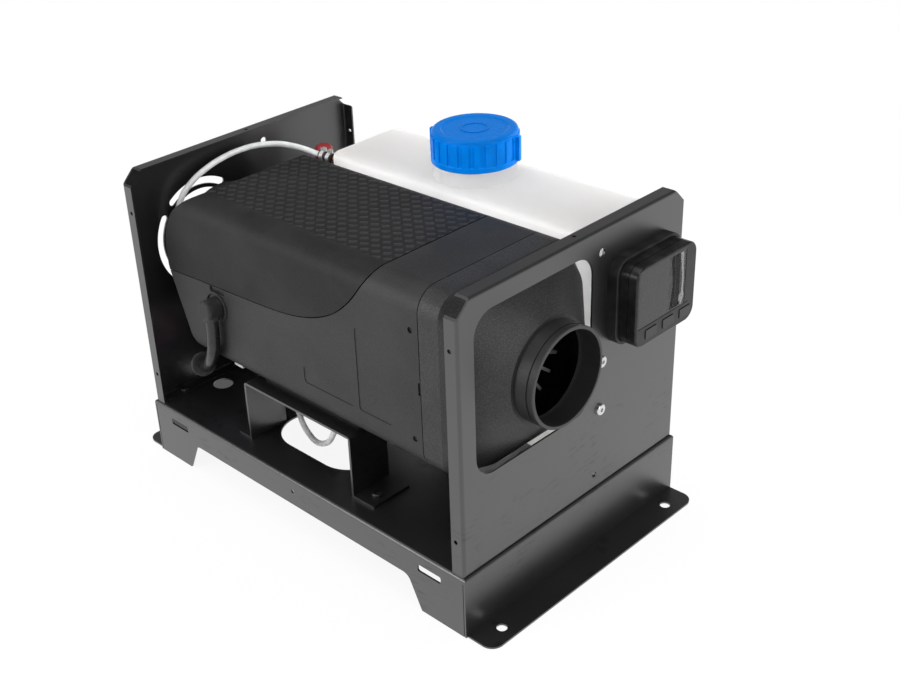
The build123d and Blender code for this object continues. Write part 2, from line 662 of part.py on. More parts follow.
def above_seam(shift):
    """Everything above the wavy seam, which is moved down by shift."""
    top = CASE_Z1 + SEAM_OVER
    points = [(x + shift, z - shift) for x, z in SEAM_CURVE]
    first, last = points[0], points[-1]
    outline = [Spline(*points), Line(last, (last[0], top)), Line((last[0], top), (first[0], top)),
               Line((first[0], top), first)]
    return side_slab(outline, CASE_Y0 - PAST, CASE_Y1 + PAST)


def inlet_mouth():
    return rod_x(NOSE_X - 3 * PAST, RING_X[1] + PAST, HEATER_Y, HEATER_Z, RING_R)


def upper_cover():
    shell = casing_solid(0, CASE_END) - casing_solid(WALL, CASE_END + PAST)
    return shell & above_seam(0) - inlet_mouth()


def lower_casing():
    shell = casing_solid(0, CASE_END) - casing_solid(WALL, CASE_END + PAST)
    lower = shell - above_seam(SEAM_GAP) - inlet_mouth()
    lip_inside = casing_solid(WALL + LIP_GAP + LIP, CASE_END - PAST)
    seat = casing_solid(WALL, CASE_END - PAST) - lip_inside
    lip = seat & (above_seam(SEAM_GAP + LIP_REACH) - above_seam(SEAM_GAP))
    free = casing_solid(WALL + LIP_GAP, CASE_END - PAST) - lip_inside
    lip += free & (above_seam(SEAM_GAP + PAST) - above_seam(-LIP_REACH))
    lower += lip - inlet_mouth()
    for x0, x1, z0, z1 in (PANEL, STRIP):
        for y0 in (CASE_Y0 - PAST, CASE_Y1 - PANEL_DEEP):
            face = Plane.XZ.offset(-y0 - PANEL_DEEP - PAST) \
                * Pos((x0 + x1) / 2, (z0 + z1) / 2) \
                * RectangleRounded(x1 - x0, z1 - z0, PANEL_ROUND)
            lower -= extrude(face, PANEL_DEEP + PAST)
    for z in CLIP_HOLE_Z:
        for y0 in (CASE_Y0 - PAST, CASE_Y1 - CLIP_DEEP):
            lower -= rod_y(y0, y0 + CLIP_DEEP + PAST, CLIP_HOLE_X, z, CLIP_HOLE)
    for x in (EXHAUST_X, INTAKE_X):
        lower -= rod_z(CASE_Z0 - PAST, CASE_FLOOR + PAST, x, HEATER_Y, PIPE_R + PIPE_HOLE_GAP)
    lower -= rod_z(CASE_Z0 - PAST, CASE_FLOOR + PAST, FUEL_IN_X, FUEL_IN_Y,
                   NOZZLE_R + PIPE_HOLE_GAP)
    for x0, x1, z0, z1, deep in (SEAM_NOTCH, EDGE_NOTCH):
        lower -= block(x0, x1, CASE_Y0 - PAST, CASE_Y0 + deep, z0, z1)
    lower += grommet_rib()
    lower -= rod_y(CASE_Y0 - PAST, CASE_Y0 + WALL + PAST, GROMMET_X, GROMMET_Z, GROMMET_HOLE)
    for x, y in stud_places():
        lower -= rod_z(CASE_Z0 - PAST, CASE_FLOOR + PAST, x, y, STUD_R)
    return lower


def grommet_rib():
    """Raised rib round the upper right of the grommet."""
    y0 = CASE_Y0 - RIB_PROUD
    rib = rod_y(y0, CASE_Y0, GROMMET_X, GROMMET_Z, RIB_R)
    rib -= rod_y(y0 - PAST, CASE_Y0, GROMMET_X, GROMMET_Z, RIB_R - RIB_PROUD)
    reach = 2 * RIB_R
    return rib - block(GROMMET_X - reach, GROMMET_X + RIB_R / 2, y0 - PAST, CASE_Y0,
                       GROMMET_Z - reach, GROMMET_Z)


def hood_section(x, half, below, radius):
    """A section that reaches half to both sides and up from the axis, and below downwards."""
    return Plane.YZ.offset(x) * Pos(HEATER_Y, HEATER_Z + (half - below) / 2) \
        * RectangleRounded(2 * half, half + below, radius)


def hood_solid(inset, x_start, x_end):
    shoulder = hood_section(HOOD_SHOULDER_X, CASE_HALF - inset, CASE_BELOW - inset,
                            CASE_ROUND - inset)
    face = hood_section(HOOD_FACE_X - inset / 2, CASE_HALF - HOOD_FACE_IN - inset,
                        CASE_BELOW - HOOD_FACE_IN - inset, HOOD_FACE_ROUND - inset)
    neck_x = HOOD_NECK_X - inset
    neck_half = HOOD_NECK / 2 - inset
    neck = hood_section(neck_x, neck_half, neck_half, neck_half - NECK_FLAT)
    body = rounded_x(x_start, HOOD_SHOULDER_X, CASE_Y0 + inset, CASE_Y1 - inset,
                     CASE_Z0 + inset, CASE_Z1 - inset, CASE_ROUND - inset)
    body += loft([shoulder, face], ruled=True)
    body += loft([face, neck], ruled=True)
    return body + rod_x(neck_x - PAST, x_end, HEATER_Y, HEATER_Z, COLLAR_R - inset)


def outlet_hood():
    start = CASE_END + SEAM_GAP
    hood = hood_solid(0, start, COLLAR_END)
    rim = hood.edges().group_by(Axis.X)[-1]
    hood = fillet(rim, COLLAR_RIM / 4)
    width, deep = COLLAR_GROOVE
    groove_end = COLLAR_END - COLLAR_RIM
    groove = rod_x(groove_end - width, groove_end, HEATER_Y, HEATER_Z, COLLAR_R + PAST)
    hood -= groove - rod_x(groove_end - width - PAST, COLLAR_END, HEATER_Y, HEATER_Z,
                           COLLAR_R - deep)
    hood -= hood_solid(WALL, start - PAST, COLLAR_END + PAST)
    outside = WALL + LIP_GAP
    lip = rounded_x(start - LIP_REACH, start + WALL, CASE_Y0 + outside, CASE_Y1 - outside,
                    CASE_Z0 + outside, CASE_Z1 - outside, CASE_ROUND - outside)
    lip += rounded_x(start, start + WALL, CASE_Y0 + WALL, CASE_Y1 - WALL,
                     CASE_Z0 + WALL, CASE_Z1 - WALL, CASE_ROUND - WALL)
    inside = outside + LIP
    lip -= rounded_x(start - LIP_REACH - PAST, start + WALL + PAST, CASE_Y0 + inside,
                     CASE_Y1 - inside, CASE_Z0 + inside, CASE_Z1 - inside, CASE_ROUND - inside)
    return hood + lip


def inlet_ring():
    """The round intake and its guard."""
    ring = rod_x(*RING_X, HEATER_Y, HEATER_Z, RING_R)
    ring -= rod_x(RING_X[0] - PAST, RING_X[1] + PAST, HEATER_Y, HEATER_Z, RING_R - RING_WALL)
    guard_end = RING_X[0] + GRILLE_BAR
    for radius in GRILLE_RADII:
        bar = rod_x(RING_X[0], guard_end, HEATER_Y, HEATER_Z, radius + GRILLE_BAR / 2)
        ring += bar - rod_x(RING_X[0] - PAST, guard_end + PAST, HEATER_Y, HEATER_Z,
                            radius - GRILLE_BAR / 2)
    reach = RING_R - RING_WALL / 2
    for angle in range(0, 180, 45):
        spoke = Box(GRILLE_BAR, 2 * reach, GRILLE_BAR)
        ring += Pos(RING_X[0] + GRILLE_BAR / 2, HEATER_Y, HEATER_Z) * Rot(angle, 0, 0) * spoke
    return ring


# ---------------------------------------------------------------- inside the heater

def on_axis(shape, x):
    """Place a shape that was modelled along Z at x on the heater axis, its Z along +X."""
    return Pos(x, HEATER_Y, HEATER_Z) * Rot(0, 90, 0) * shape


def motor_shaft():
    return rod_x(*SHAFT_X, HEATER_Y, HEATER_Z, SHAFT_R)


def heating_fan():
    length = FAN_X[1] - FAN_X[0]
    hub = Pos(0, 0, length / 2) * Cylinder(FAN_HUB_R, length)
    hub = fillet(hub.edges().group_by(Axis.Z)[0], FAN_HUB_R / 4)
    chord = (length - FAN_BLADE_SHORT) / math.cos(math.radians(FAN_PITCH_ANGLE))
    root = FAN_HUB_R - FAN_BLADE_ROOT
    blade = Pos((root + FAN_R) / 2, 0, length / 2) * Rot(FAN_PITCH_ANGLE, 0, 0) \
        * Box(FAN_R - root, FAN_BLADE, chord)
    trim = Pos(0, 0, length / 2) * Cylinder(FAN_R, length)
    for number in range(FAN_BLADES):
        hub += (Rot(0, 0, 360 * number / FAN_BLADES) * blade) & trim
    hub -= Pos(0, 0, length / 2) * Cylinder(SHAFT_R, length + 2 * PAST)
    return on_axis(hub, FAN_X[0])


def combustion_wheel():
    length = WHEEL_X[1] - WHEEL_X[0]
    wheel = Pos(0, 0, WHEEL_DISC / 2) * Cylinder(WHEEL_R, WHEEL_DISC)
    wheel += Pos(0, 0, length / 2) * Cylinder(WHEEL_HUB_R, length)
    root = WHEEL_HUB_R + WHEEL_BLADE_OUT
    blade = Pos((root + WHEEL_R) / 2, 0, length / 2) * Box(WHEEL_R - root, WHEEL_BLADE, length)
    for number in range(WHEEL_BLADES):
        turned = Rot(0, 0, 360 * number / WHEEL_BLADES) * blade
        wheel += turned & Pos(0, 0, length / 2) * Cylinder(WHEEL_R, length)
    wheel -= Pos(0, 0, length / 2) * Cylinder(SHAFT_R, length + 2 * PAST)
    return on_axis(wheel, WHEEL_X[0])


def fan_motor():
    motor = rod_x(*MOTOR_X, HEATER_Y, HEATER_Z, MOTOR_R)
    motor = fillet(motor.edges(), MOTOR_EDGE)
    motor += rod_x(MOTOR_X[0] - MOTOR_BOSS, MOTOR_X[0] + PAST, HEATER_Y, HEATER_Z, MOTOR_BOSS_R)
    return motor - rod_x(MOTOR_X[0] - 2 * MOTOR_BOSS, MOTOR_X[1] + PAST, HEATER_Y, HEATER_Z,
                         SHAFT_R + RUN_FIT)


def blower_housing():
    """Casting that carries the motor and holds the combustion air wheel."""
    housing = rod_x(*BLOWER_X, HEATER_Y, HEATER_Z, BLOWER_R)
    housing += block(*BLOWER_X, HEATER_Y - BLOWER_FOOT / 2, HEATER_Y + BLOWER_FOOT / 2,
                     CASE_FLOOR, HEATER_Z)
    post = BLOWER_X[0] + BOARD_POST[0]
    for y in (BOARD_Y[0] + BOARD_POST_IN, BOARD_Y[1] - BOARD_POST_IN):
        housing += block(BLOWER_X[0], post, y - BOARD_POST[1] / 2, y + BOARD_POST[1] / 2,
                         HEATER_Z + BLOWER_R / 2, BOARD_Z)
    housing -= rod_x(BLOWER_X[0] + BLOWER_WALL, BLOWER_X[1] - BLOWER_WALL, HEATER_Y, HEATER_Z,
                     WHEEL_R + WHEEL_GAP)
    housing -= rod_x(BLOWER_X[0] - PAST, BLOWER_X[0] + BLOWER_WALL + PAST, HEATER_Y, HEATER_Z,
                     SHAFT_R + SHAFT_GAP)
    housing -= rod_x(BLOWER_X[1] - BLOWER_WALL - PAST, BLOWER_X[1] + PAST, HEATER_Y, HEATER_Z,
                     BURNER_R / 2)
    return housing - rod_z(CASE_FLOOR - PAST, HEATER_Z - WHEEL_R / 2, INTAKE_X, HEATER_Y,
                           PIPE_R - PIPE_WALL)


def burner_head():
    head = rod_x(*HEAD_X, HEATER_Y, HEATER_Z, HEAD_R)
    head -= rod_x(HEAD_X[0] - PAST, HEAD_X[1] + PAST, HEATER_Y, HEATER_Z, BURNER_R / 2)
    plug_x = (HEAD_X[0] + HEAD_X[1]) / 2
    head -= rod_z(HEATER_Z, HEATER_Z + HEAD_R + PAST, plug_x, HEATER_Y, PLUG_R)
    head += block(FUEL_IN_X - HEAD_FOOT, HEAD_X[1], FUEL_IN_Y - HEAD_FOOT, HEATER_Y, CASE_FLOOR,
                  HEATER_Z - HEAD_R / 2) - rod_x(HEAD_X[0] - PAST, HEAD_X[1] + PAST, HEATER_Y,
                                                 HEATER_Z, BURNER_R / 2)
    return head


def burner_tube():
    tube = rod_x(HEAD_X[1], BURNER_END, HEATER_Y, HEATER_Z, BURNER_R)
    tube -= rod_x(HEAD_X[1] - PAST, BURNER_END + PAST, HEATER_Y, HEATER_Z, BURNER_R - BURNER_WALL)
    for number in range(BURNER_HOLES):
        turn = Rot(360 * number / BURNER_HOLES, 0, 0)
        hole = Pos(HEAD_X[1] + BURNER_HOLE_IN, HEATER_Y, HEATER_Z) * turn \
            * Pos(0, 0, BURNER_R) * Cylinder(BURNER_HOLE, 4 * BURNER_WALL)
        tube -= hole
    return tube


def glow_plug():
    x = (HEAD_X[0] + HEAD_X[1]) / 2
    top = HEATER_Z + HEAD_R
    pin = rod_z(HEATER_Z + BURNER_R / 2 - PLUG_TIP, top, x, HEATER_Y, PLUG_R)
    hexagon = Pos(x, HEATER_Y, top) * extrude(RegularPolygon(PLUG_HEX_R, 6), PLUG_HEX)
    return pin + hexagon + rod_z(top + PLUG_HEX, top + PLUG_TOP, x, HEATER_Y, PLUG_R / 2)


def heat_exchanger():
    """Finned casting, closed at the outlet end, on a foot that takes the exhaust."""
    root = CORE_R - CORE_WALL / 2
    section = Circle(CORE_R)
    for number in range(FIN_COUNT):
        angle = 360 * (number + 0.5) / FIN_COUNT
        fin = Rectangle(FIN_R - root, FIN_THICK)
        section += Rot(0, 0, angle) * Pos((FIN_R + root) / 2, 0) * fin
    core = extrude(Plane.YZ.offset(CORE_X[0]) * Pos(HEATER_Y, HEATER_Z) * section,
                   CORE_X[1] - CORE_X[0])
    core += Pos(CORE_X[1] + CORE_DOME / 2, HEATER_Y, HEATER_Z) * Rot(0, 90, 0) \
        * Cone(root, root - CORE_DOME, CORE_DOME)
    length, width = FOOT_BLOCK
    core += block(FOOT_BLOCK_X - length / 2, FOOT_BLOCK_X + length / 2, HEATER_Y - width / 2,
                  HEATER_Y + width / 2, CASE_FLOOR, HEATER_Z - CORE_R / 2)
    core -= rod_x(CORE_X[0] - PAST, CORE_X[1] - CORE_WALL, HEATER_Y, HEATER_Z,
                  CORE_R - CORE_WALL)
    core -= rod_z(CASE_FLOOR - PAST, HEATER_Z - CORE_R / 2, EXHAUST_X, HEATER_Y,
                  PIPE_R - PIPE_WALL)
    return core


def overheat_sensor():
    z = HEATER_Z + CORE_R
    body = rod_z(z, z + SENSOR_HEIGHT, SENSOR_X, HEATER_Y, SENSOR_R / 2)
    return body + rod_z(z + SENSOR_HEIGHT, z + SENSOR_HEIGHT + SENSOR_TAG, SENSOR_X, HEATER_Y,
                        SENSOR_R / 3)


def pipe_stub(x):
    """A stub with a groove near its tip, where a hose clamp bites, and a thicker root."""
    pipe = rod_z(PIPE_TIP, CASE_FLOOR, x, HEATER_Y, PIPE_R)
    pipe += rod_z(BRACKET_TOP - BRACKET - PIPE_SHOULDER_DOWN, CASE_FLOOR, x, HEATER_Y,
                  PIPE_R + PIPE_SHOULDER)
    z0 = PIPE_TIP + PIPE_GROOVE[0]
    pipe -= rod_z(z0, z0 + PIPE_GROOVE[1], x, HEATER_Y, PIPE_R + PAST) \
        - rod_z(z0 - PAST, z0 + PIPE_GROOVE[1] + PAST, x, HEATER_Y, PIPE_R - PIPE_WALL / 3)
    return pipe - rod_z(PIPE_TIP - PAST, CASE_FLOOR + PAST, x, HEATER_Y, PIPE_R - PIPE_WALL)


def fuel_inlet():
    nozzle = rod_z(FUEL_IN_TIP, CASE_FLOOR, FUEL_IN_X, FUEL_IN_Y, NOZZLE_R)
    return nozzle - rod_z(FUEL_IN_TIP - PAST, CASE_FLOOR + PAST, FUEL_IN_X, FUEL_IN_Y, NOZZLE_BORE)


def control_board():
    board = block(*BOARD_X, *BOARD_Y, BOARD_Z, BOARD_Z + BOARD_THICK)
    top = BOARD_Z + BOARD_THICK
    for place, size in ((RELAY_AT, RELAY_SIZE), (CHIP_AT, CHIP_SIZE)):
        x, y = BOARD_X[0] + place[0], BOARD_Y[0] + place[1]
        board += block(x, x + size[0], y, y + size[1], top, top + size[2])
    x, y = BOARD_X[0] + CAPACITOR_AT[0], BOARD_Y[0] + CAPACITOR_AT[1]
    for row in range(CAPACITORS):
        board += rod_z(top, top + CAPACITOR_HEIGHT, x, y + row * CAPACITOR_STEP, CAPACITOR_R)
    return board


# ---------------------------------------------------------------- under the heater

def stud_places():
    return [(BRACKET_MID_X + sx * STUD_X, BRACKET_MID_Y + sy * STUD_Y)
            for sx in (-1, 1) for sy in (-1, 1)]


def underside_holes(z0, z1):
    """Cutters through the gasket and the bracket for pipes, fuel nozzle and studs."""
    holes = [rod_z(z0, z1, x, HEATER_Y, PIPE_R + PIPE_HOLE_GAP) for x in (EXHAUST_X, INTAKE_X)]
    holes.append(rod_z(z0, z1, FUEL_IN_X, FUEL_IN_Y, JOINER_R + PIPE_HOLE_GAP))
    holes += [rod_z(z0, z1, x, y, STUD_R) for x, y in stud_places()]
    return holes


def mounting_gasket():
    half_x, half_y = GASKET_HALF
    pad = block(BRACKET_MID_X - half_x, BRACKET_MID_X + half_x, BRACKET_MID_Y - half_y,
                BRACKET_MID_Y + half_y, BRACKET_TOP, CASE_Z0)
    pad = fillet(pad.edges().filter_by(Axis.Z), GASKET_ROUND)
    for hole in underside_holes(BRACKET_TOP - PAST, CASE_Z0 + PAST):
        pad -= hole
    return pad


def heater_bracket():
    """Bridge of bent sheet: a table on four legs, with feet folded outwards."""
    x0, x1 = BRACKET_X
    y0, y1 = BRACKET_Y
    outer = block(x0, x1, y0, y1, DECK, BRACKET_TOP)
    outer = fillet(outer.edges().filter_by(Axis.Y).group_by(Axis.Z)[-1], BEND + BRACKET - SHEET)
    inner = block(x0 + BRACKET, x1 - BRACKET, y0 - PAST, y1 + PAST, DECK - PAST,
                  BRACKET_TOP - BRACKET)
    bridge = outer - inner
    bridge += block(x0 - BRACKET_FOOT_IN, x0 + BRACKET, y0, y1, DECK, DECK + BRACKET)
    bridge += block(x1 - BRACKET, x1 + BRACKET_FOOT_OUT, y0, y1, DECK, DECK + BRACKET)
    gap = block(x0 - BRACKET_FOOT_IN - PAST, x1 + BRACKET_FOOT_OUT + PAST, y0 + BRACKET_LEG,
                y1 - BRACKET_LEG, DECK - PAST, BRACKET_TOP - BRACKET_ARCH_DOWN)
    bridge -= fillet(gap.edges().filter_by(Axis.X).group_by(Axis.Z)[-1], BRACKET_ARCH_ROUND)
    for x, y in bracket_screw_places():
        bridge -= rod_z(DECK - PAST, DECK + BRACKET + PAST, x, y, PLATE_SCREW_HOLE)
    for hole in underside_holes(BRACKET_TOP - BRACKET - PAST, BRACKET_TOP + PAST):
        bridge -= hole
    return bridge


def bracket_screws():
    return [screw_down(x, y, DECK + BRACKET) for x, y in bracket_screw_places()]


def mount_studs():
    return [rod_z(STUD_TIP, CASE_FLOOR, x, y, STUD_R) for x, y in stud_places()]


def mount_nuts():
    top = BRACKET_TOP - BRACKET
    nuts = []
    for x, y in stud_places():
        nut = Pos(x, y, top - NUT_HEIGHT) * extrude(RegularPolygon(NUT_R, 6), NUT_HEIGHT)
        nuts.append(nut - rod_z(top - NUT_HEIGHT - PAST, top + PAST, x, y, STUD_R))
    return nuts


# ---------------------------------------------------------------- fuel tank

def tank_body(inset):
    body = block(TANK_X[0] + inset, TANK_X[1] - inset, TANK_Y[0] + inset, TANK_Y[1] - inset,
                 DECK + inset, TANK_TOP - inset)
    body = fillet(body.edges().filter_by(Axis.Z), TANK_ROUND - inset)
    rims = body.edges().group_by(Axis.Z)
    return fillet(rims[0] + rims[-1], TANK_EDGE - inset)


def fuel_tank():
    tank = tank_body(0)
    rise = NECK_BASE_TOP - TANK_TOP
    tank += Pos(NECK_X, NECK_Y, TANK_TOP + rise / 2) * Cone(NECK_BASE_R, NECK_R + THREAD_CREST, rise)
    neck = rod_z(NECK_BASE_TOP - PAST, NECK_TOP, NECK_X, NECK_Y, NECK_R)
    for turn in range(THREAD_TURNS):
        z = NECK_BASE_TOP + THREAD_START + turn * THREAD_PITCH
        crest = rod_z(z, z + THREAD_HEIGHT, NECK_X, NECK_Y, NECK_R + THREAD_CREST)
        neck += chamfer(crest.edges(), THREAD_HEIGHT / 4)
    tank += neck
    tank -= tank_body(TANK_WALL)
    tank -= rod_z(TANK_TOP - 2 * TANK_EDGE, NECK_TOP + PAST, NECK_X, NECK_Y, NECK_BORE)
    return tank - rod_x(TANK_X[0] - PAST, TANK_X[0] + TANK_WALL + PAST, OUTLET_Y, OUTLET_Z,
                        NOZZLE_R)


def tank_cap():
    skirt = Pos(NECK_X, NECK_Y, CAP_BOTTOM) * extrude(Circle(CAP_R - CAP_RIB[1]),
                                                      CAP_TOP - CAP_BOTTOM)
    rim = rod_z(CAP_BOTTOM, CAP_BOTTOM + CAP_RIM, NECK_X, NECK_Y, CAP_R)
    cap = skirt + fillet(rim.edges(), CAP_RIM_ROUND)
    cap = fillet(cap.edges().group_by(Axis.Z)[-1], CAP_ROUND)
    rib_top = CAP_TOP - CAP_ROUND - CAP_RIB_DOWN
    rib_height = rib_top - CAP_BOTTOM - CAP_RIM / 2
    width, proud = CAP_RIB
    deep = 2 * proud + CAP_RIB_SINK
    middle = CAP_BOTTOM + CAP_RIM / 2 + rib_height / 2
    rib = Pos(CAP_R - CAP_RIB_IN - deep / 2, 0, middle) * Box(deep, width, rib_height)
    envelope = rod_z(CAP_BOTTOM, rib_top, NECK_X, NECK_Y, CAP_R - CAP_RIB_IN)
    for number in range(CAP_RIBS):
        turned = Pos(NECK_X, NECK_Y, 0) * Rot(0, 0, 360 * number / CAP_RIBS) * rib
        cap += turned & envelope
    lug_width, lug_proud = CAP_LUG
    for angle in (CAP_LUG_TURN, CAP_LUG_TURN + 180):
        lug = Pos(CAP_R + (lug_proud - CAP_LUG_ROOT) / 2, 0, middle) \
            * Box(lug_proud + CAP_LUG_ROOT, lug_width, rib_height)
        cap += Pos(NECK_X, NECK_Y, 0) * Rot(0, 0, angle) * lug
    inside = rod_z(CAP_BOTTOM - PAST, CAP_TOP - CAP_ROOF, NECK_X, NECK_Y,
                   NECK_R + THREAD_CREST + CAP_GAP)
    dish_r, dish_deep = CAP_DISH
    floor = CAP_TOP - dish_deep
    cap -= Pos(NECK_X, NECK_Y, CAP_TOP - dish_deep / 2) \
        * Cone(dish_r - 2 * dish_deep, dish_r, dish_deep)
    ring_r, ring_width, ring_high = CAP_RING
    cap += rod_z(floor, floor + ring_high, NECK_X, NECK_Y, ring_r + ring_width / 2) \
        - rod_z(floor - PAST, floor + ring_high + PAST, NECK_X, NECK_Y, ring_r - ring_width / 2)
    return cap - inside


def cap_liner():
    return rod_z(NECK_TOP, CAP_TOP - CAP_ROOF, NECK_X, NECK_Y, LINER_R)


def tank_outlet():
    """Brass elbow in the end wall, with the dip tube down to the bottom of the tank."""
    x, y, z = TANK_X[0], OUTLET_Y, OUTLET_Z
    tip = x - OUTLET_REACH
    turn = x + DIP_IN
    outlet = rod_x(tip, turn, y, z, NOZZLE_R) + Pos(turn, y, z) * Sphere(NOZZLE_R)
    outlet += rod_x(x - OUTLET_FLANGE, x, y, z, OUTLET_FLANGE_R)
    outlet += rod_z(DIP_TIP, z, turn, y, NOZZLE_R)
    outlet -= rod_x(tip - PAST, turn, y, z, NOZZLE_BORE)
    return outlet - rod_z(DIP_TIP - PAST, z, turn, y, NOZZLE_BORE)


def tank_clamp():
    """Angle on the inside of the outlet plate, in front of the tank."""
    z0, z1 = CLAMP_Z
    front = TANK_Y[0] - SHEET
    clamp = block(PLATE_INNER - SHEET, PLATE_INNER, TANK_Y[0] - CLAMP_WIDTH, TANK_Y[0], z0, z1)
    clamp += block(PLATE_INNER - CLAMP_LENGTH, PLATE_INNER, front, TANK_Y[0], z0, z1)
    for z in CLAMP_SCREW_Z:
        clamp -= rod_x(PLATE_INNER - SHEET - PAST, PLATE_INNER + PAST, CLAMP_SCREW_Y, z,
                       PLATE_SCREW)
    return clamp


def clamp_screws():
    screws = []
    for z in CLAMP_SCREW_Z:
        head = rod_x(PLATE_X, PLATE_X + SCREW_HEAD, CLAMP_SCREW_Y, z, CLAMP_SCREW_R)
        head = fillet(head.edges().group_by(Axis.X)[-1], SCREW_HEAD / 2)
        socket = Plane.YZ.offset(PLATE_X + SCREW_HEAD / 2) * Pos(CLAMP_SCREW_Y, z) \
            * RegularPolygon(CLAMP_SOCKET_R, 6)
        head -= extrude(socket, SCREW_HEAD)
        screws.append(head + rod_x(PLATE_INNER - SHEET, PLATE_X, CLAMP_SCREW_Y, z, PLATE_SCREW))
    return screws


def tank_stop():
    """Angle on the deck that keeps the tank from sliding towards the pump."""
    x = TANK_X[0] - SHEET
    stop = block(x, TANK_X[0], *STOP_Y, DECK, DECK + STOP_HEIGHT)
    stop += block(x - STOP_FOOT, TANK_X[0], *STOP_Y, DECK, DECK + SHEET)
    for hole_x, hole_y in stop_screw_places():
        stop -= rod_z(DECK - PAST, DECK + SHEET + PAST, hole_x, hole_y, PLATE_SCREW_HOLE)
    return stop


def stop_screws():
    return [screw_down(x, y, DECK + SHEET) for x, y in stop_screw_places()]


# ---------------------------------------------------------------- fuel pump

def fuel_pump():
    z0, z1 = PUMP_Z
    pump = rod_z(z0, z1, PUMP_X, PUMP_Y, PUMP_R)
    pump = fillet(pump.edges(), PUMP_EDGE)
    nut_r, nut_high = PUMP_NUT
    collar = Pos(PUMP_X, PUMP_Y, z0 - nut_high) * extrude(RegularPolygon(nut_r, 6), nut_high + PAST)
    pump += collar + rod_z(PUMP_INLET_TIP, z0, PUMP_X, PUMP_Y, NOZZLE_R)
    pump += rod_y(PUMP_Y, PUMP_OUT_TIP, PUMP_X, PUMP_OUT_Z, NOZZLE_R)
    boss_r, boss_out = PUMP_BOSS
    pump += rod_y(PUMP_Y, PUMP_Y + PUMP_R + boss_out, PUMP_X, PUMP_OUT_Z, boss_r)
    pump -= rod_z(PLUNGER_Z[0] - PLUNGER_SPARE, PLUNGER_Z[1] + PLUNGER_STROKE + PLUNGER_SPARE,
                  PUMP_X, PUMP_Y, PUMP_BORE)
    pump -= rod_z(PUMP_INLET_TIP - PAST, PUMP_OUT_Z, PUMP_X, PUMP_Y, NOZZLE_BORE)
    return pump - rod_y(PUMP_Y, PUMP_OUT_TIP + PAST, PUMP_X, PUMP_OUT_Z, NOZZLE_BORE)


def pump_plunger():
    z0, z1 = PLUNGER_Z
    plunger = rod_z(z0, z1, PUMP_X, PUMP_Y, PUMP_BORE - PLUNGER_GAP)
    return plunger - rod_z(z0 - PAST, z1 + PAST, PUMP_X, PUMP_Y, NOZZLE_BORE)


def pump_cap():
    cap = rod_z(PUMP_Z[1], PUMP_Z[1] + PUMP_CAP_RISE, PUMP_X, PUMP_Y, PUMP_CAP_R)
    return fillet(cap.edges().group_by(Axis.Z)[-1], PUMP_CAP_R * PUMP_CAP_DOME)


def pump_holder():
    """Rubber sleeve round the pump."""
    z0, z1 = HOLDER_Z
    sleeve = rod_z(z0, z1, PUMP_X, PUMP_Y, PUMP_R + HOLDER_WALL)
    sleeve = fillet(sleeve.edges(), HOLDER_EDGE)
    return sleeve - rod_z(z0 - PAST, z1 + PAST, PUMP_X, PUMP_Y, PUMP_R)


def cradle_screw_places():
    return [CRADLE_Z[0] + CRADLE_SCREW_IN, CRADLE_Z[1] - CRADLE_SCREW_IN]


def pump_cradle():
    """Metal bracket from the inlet plate to the rubber sleeve."""
    z0, z1 = CRADLE_Z
    plate = block(-PLATE_INNER, -PLATE_INNER + SHEET, PUMP_Y - CRADLE_ARM, PUMP_Y + CRADLE_ARM,
                  z0, z1)
    reach = PUMP_R + HOLDER_WALL
    arm_z = (HOLDER_Z[0] + CRADLE_ARM_IN, HOLDER_Z[1] - CRADLE_ARM_IN)
    arm = block(-PLATE_INNER, PUMP_X, PUMP_Y - SHEET, PUMP_Y + SHEET, *arm_z)
    band = rod_z(*arm_z, PUMP_X, PUMP_Y, reach + SHEET)
    cradle = plate + arm + band - rod_z(arm_z[0] - PAST, arm_z[1] + PAST, PUMP_X, PUMP_Y, reach)
    for z in cradle_screw_places():
        cradle -= rod_x(-PLATE_INNER - PAST, -PLATE_INNER + SHEET + PAST, PUMP_Y, z, PLATE_SCREW)
    return cradle


def cradle_screws():
    screws = []
    for z in cradle_screw_places():
        head = rod_x(-PLATE_X - SCREW_HEAD, -PLATE_X, PUMP_Y, z, SCREW_HEAD_R)
        head = fillet(head.edges().group_by(Axis.X)[0], SCREW_HEAD / 2)
        screws.append(head + rod_x(-PLATE_X, -PLATE_INNER + SHEET, PUMP_Y, z, PLATE_SCREW))
    return screws


# ---------------------------------------------------------------- tubes and wires

def route_radii(points):
    """The largest arc that each corner of a route has room for."""
    radii = []
    for before, here, after in zip(points, points[1:], points[2:]):
        run_in = Vector(*here) - Vector(*before)
        run_out = Vector(*after) - Vector(*here)
        half_turn = math.radians(run_in.get_angle(run_out)) / 2
        radii.append(ARC_SHARE * min(run_in.length, run_out.length) / math.tan(half_turn))
    return radii


def routed(name, points, radius):
    """A round tube along straight runs and tangent arcs."""
    radii = route_radii(points)
    path = FilletPolyline(*points, radius=radii)
    tube = sweep(Plane(origin=path @ 0, z_dir=path % 0) * Circle(radius), path=path)
    expected = math.pi * radius ** 2 * path.length
    print(name, "length", round(path.length, 1), "volume ratio", round(tube.volume / expected, 4),
          "radii", [round(value, 1) for value in radii])
    return tube


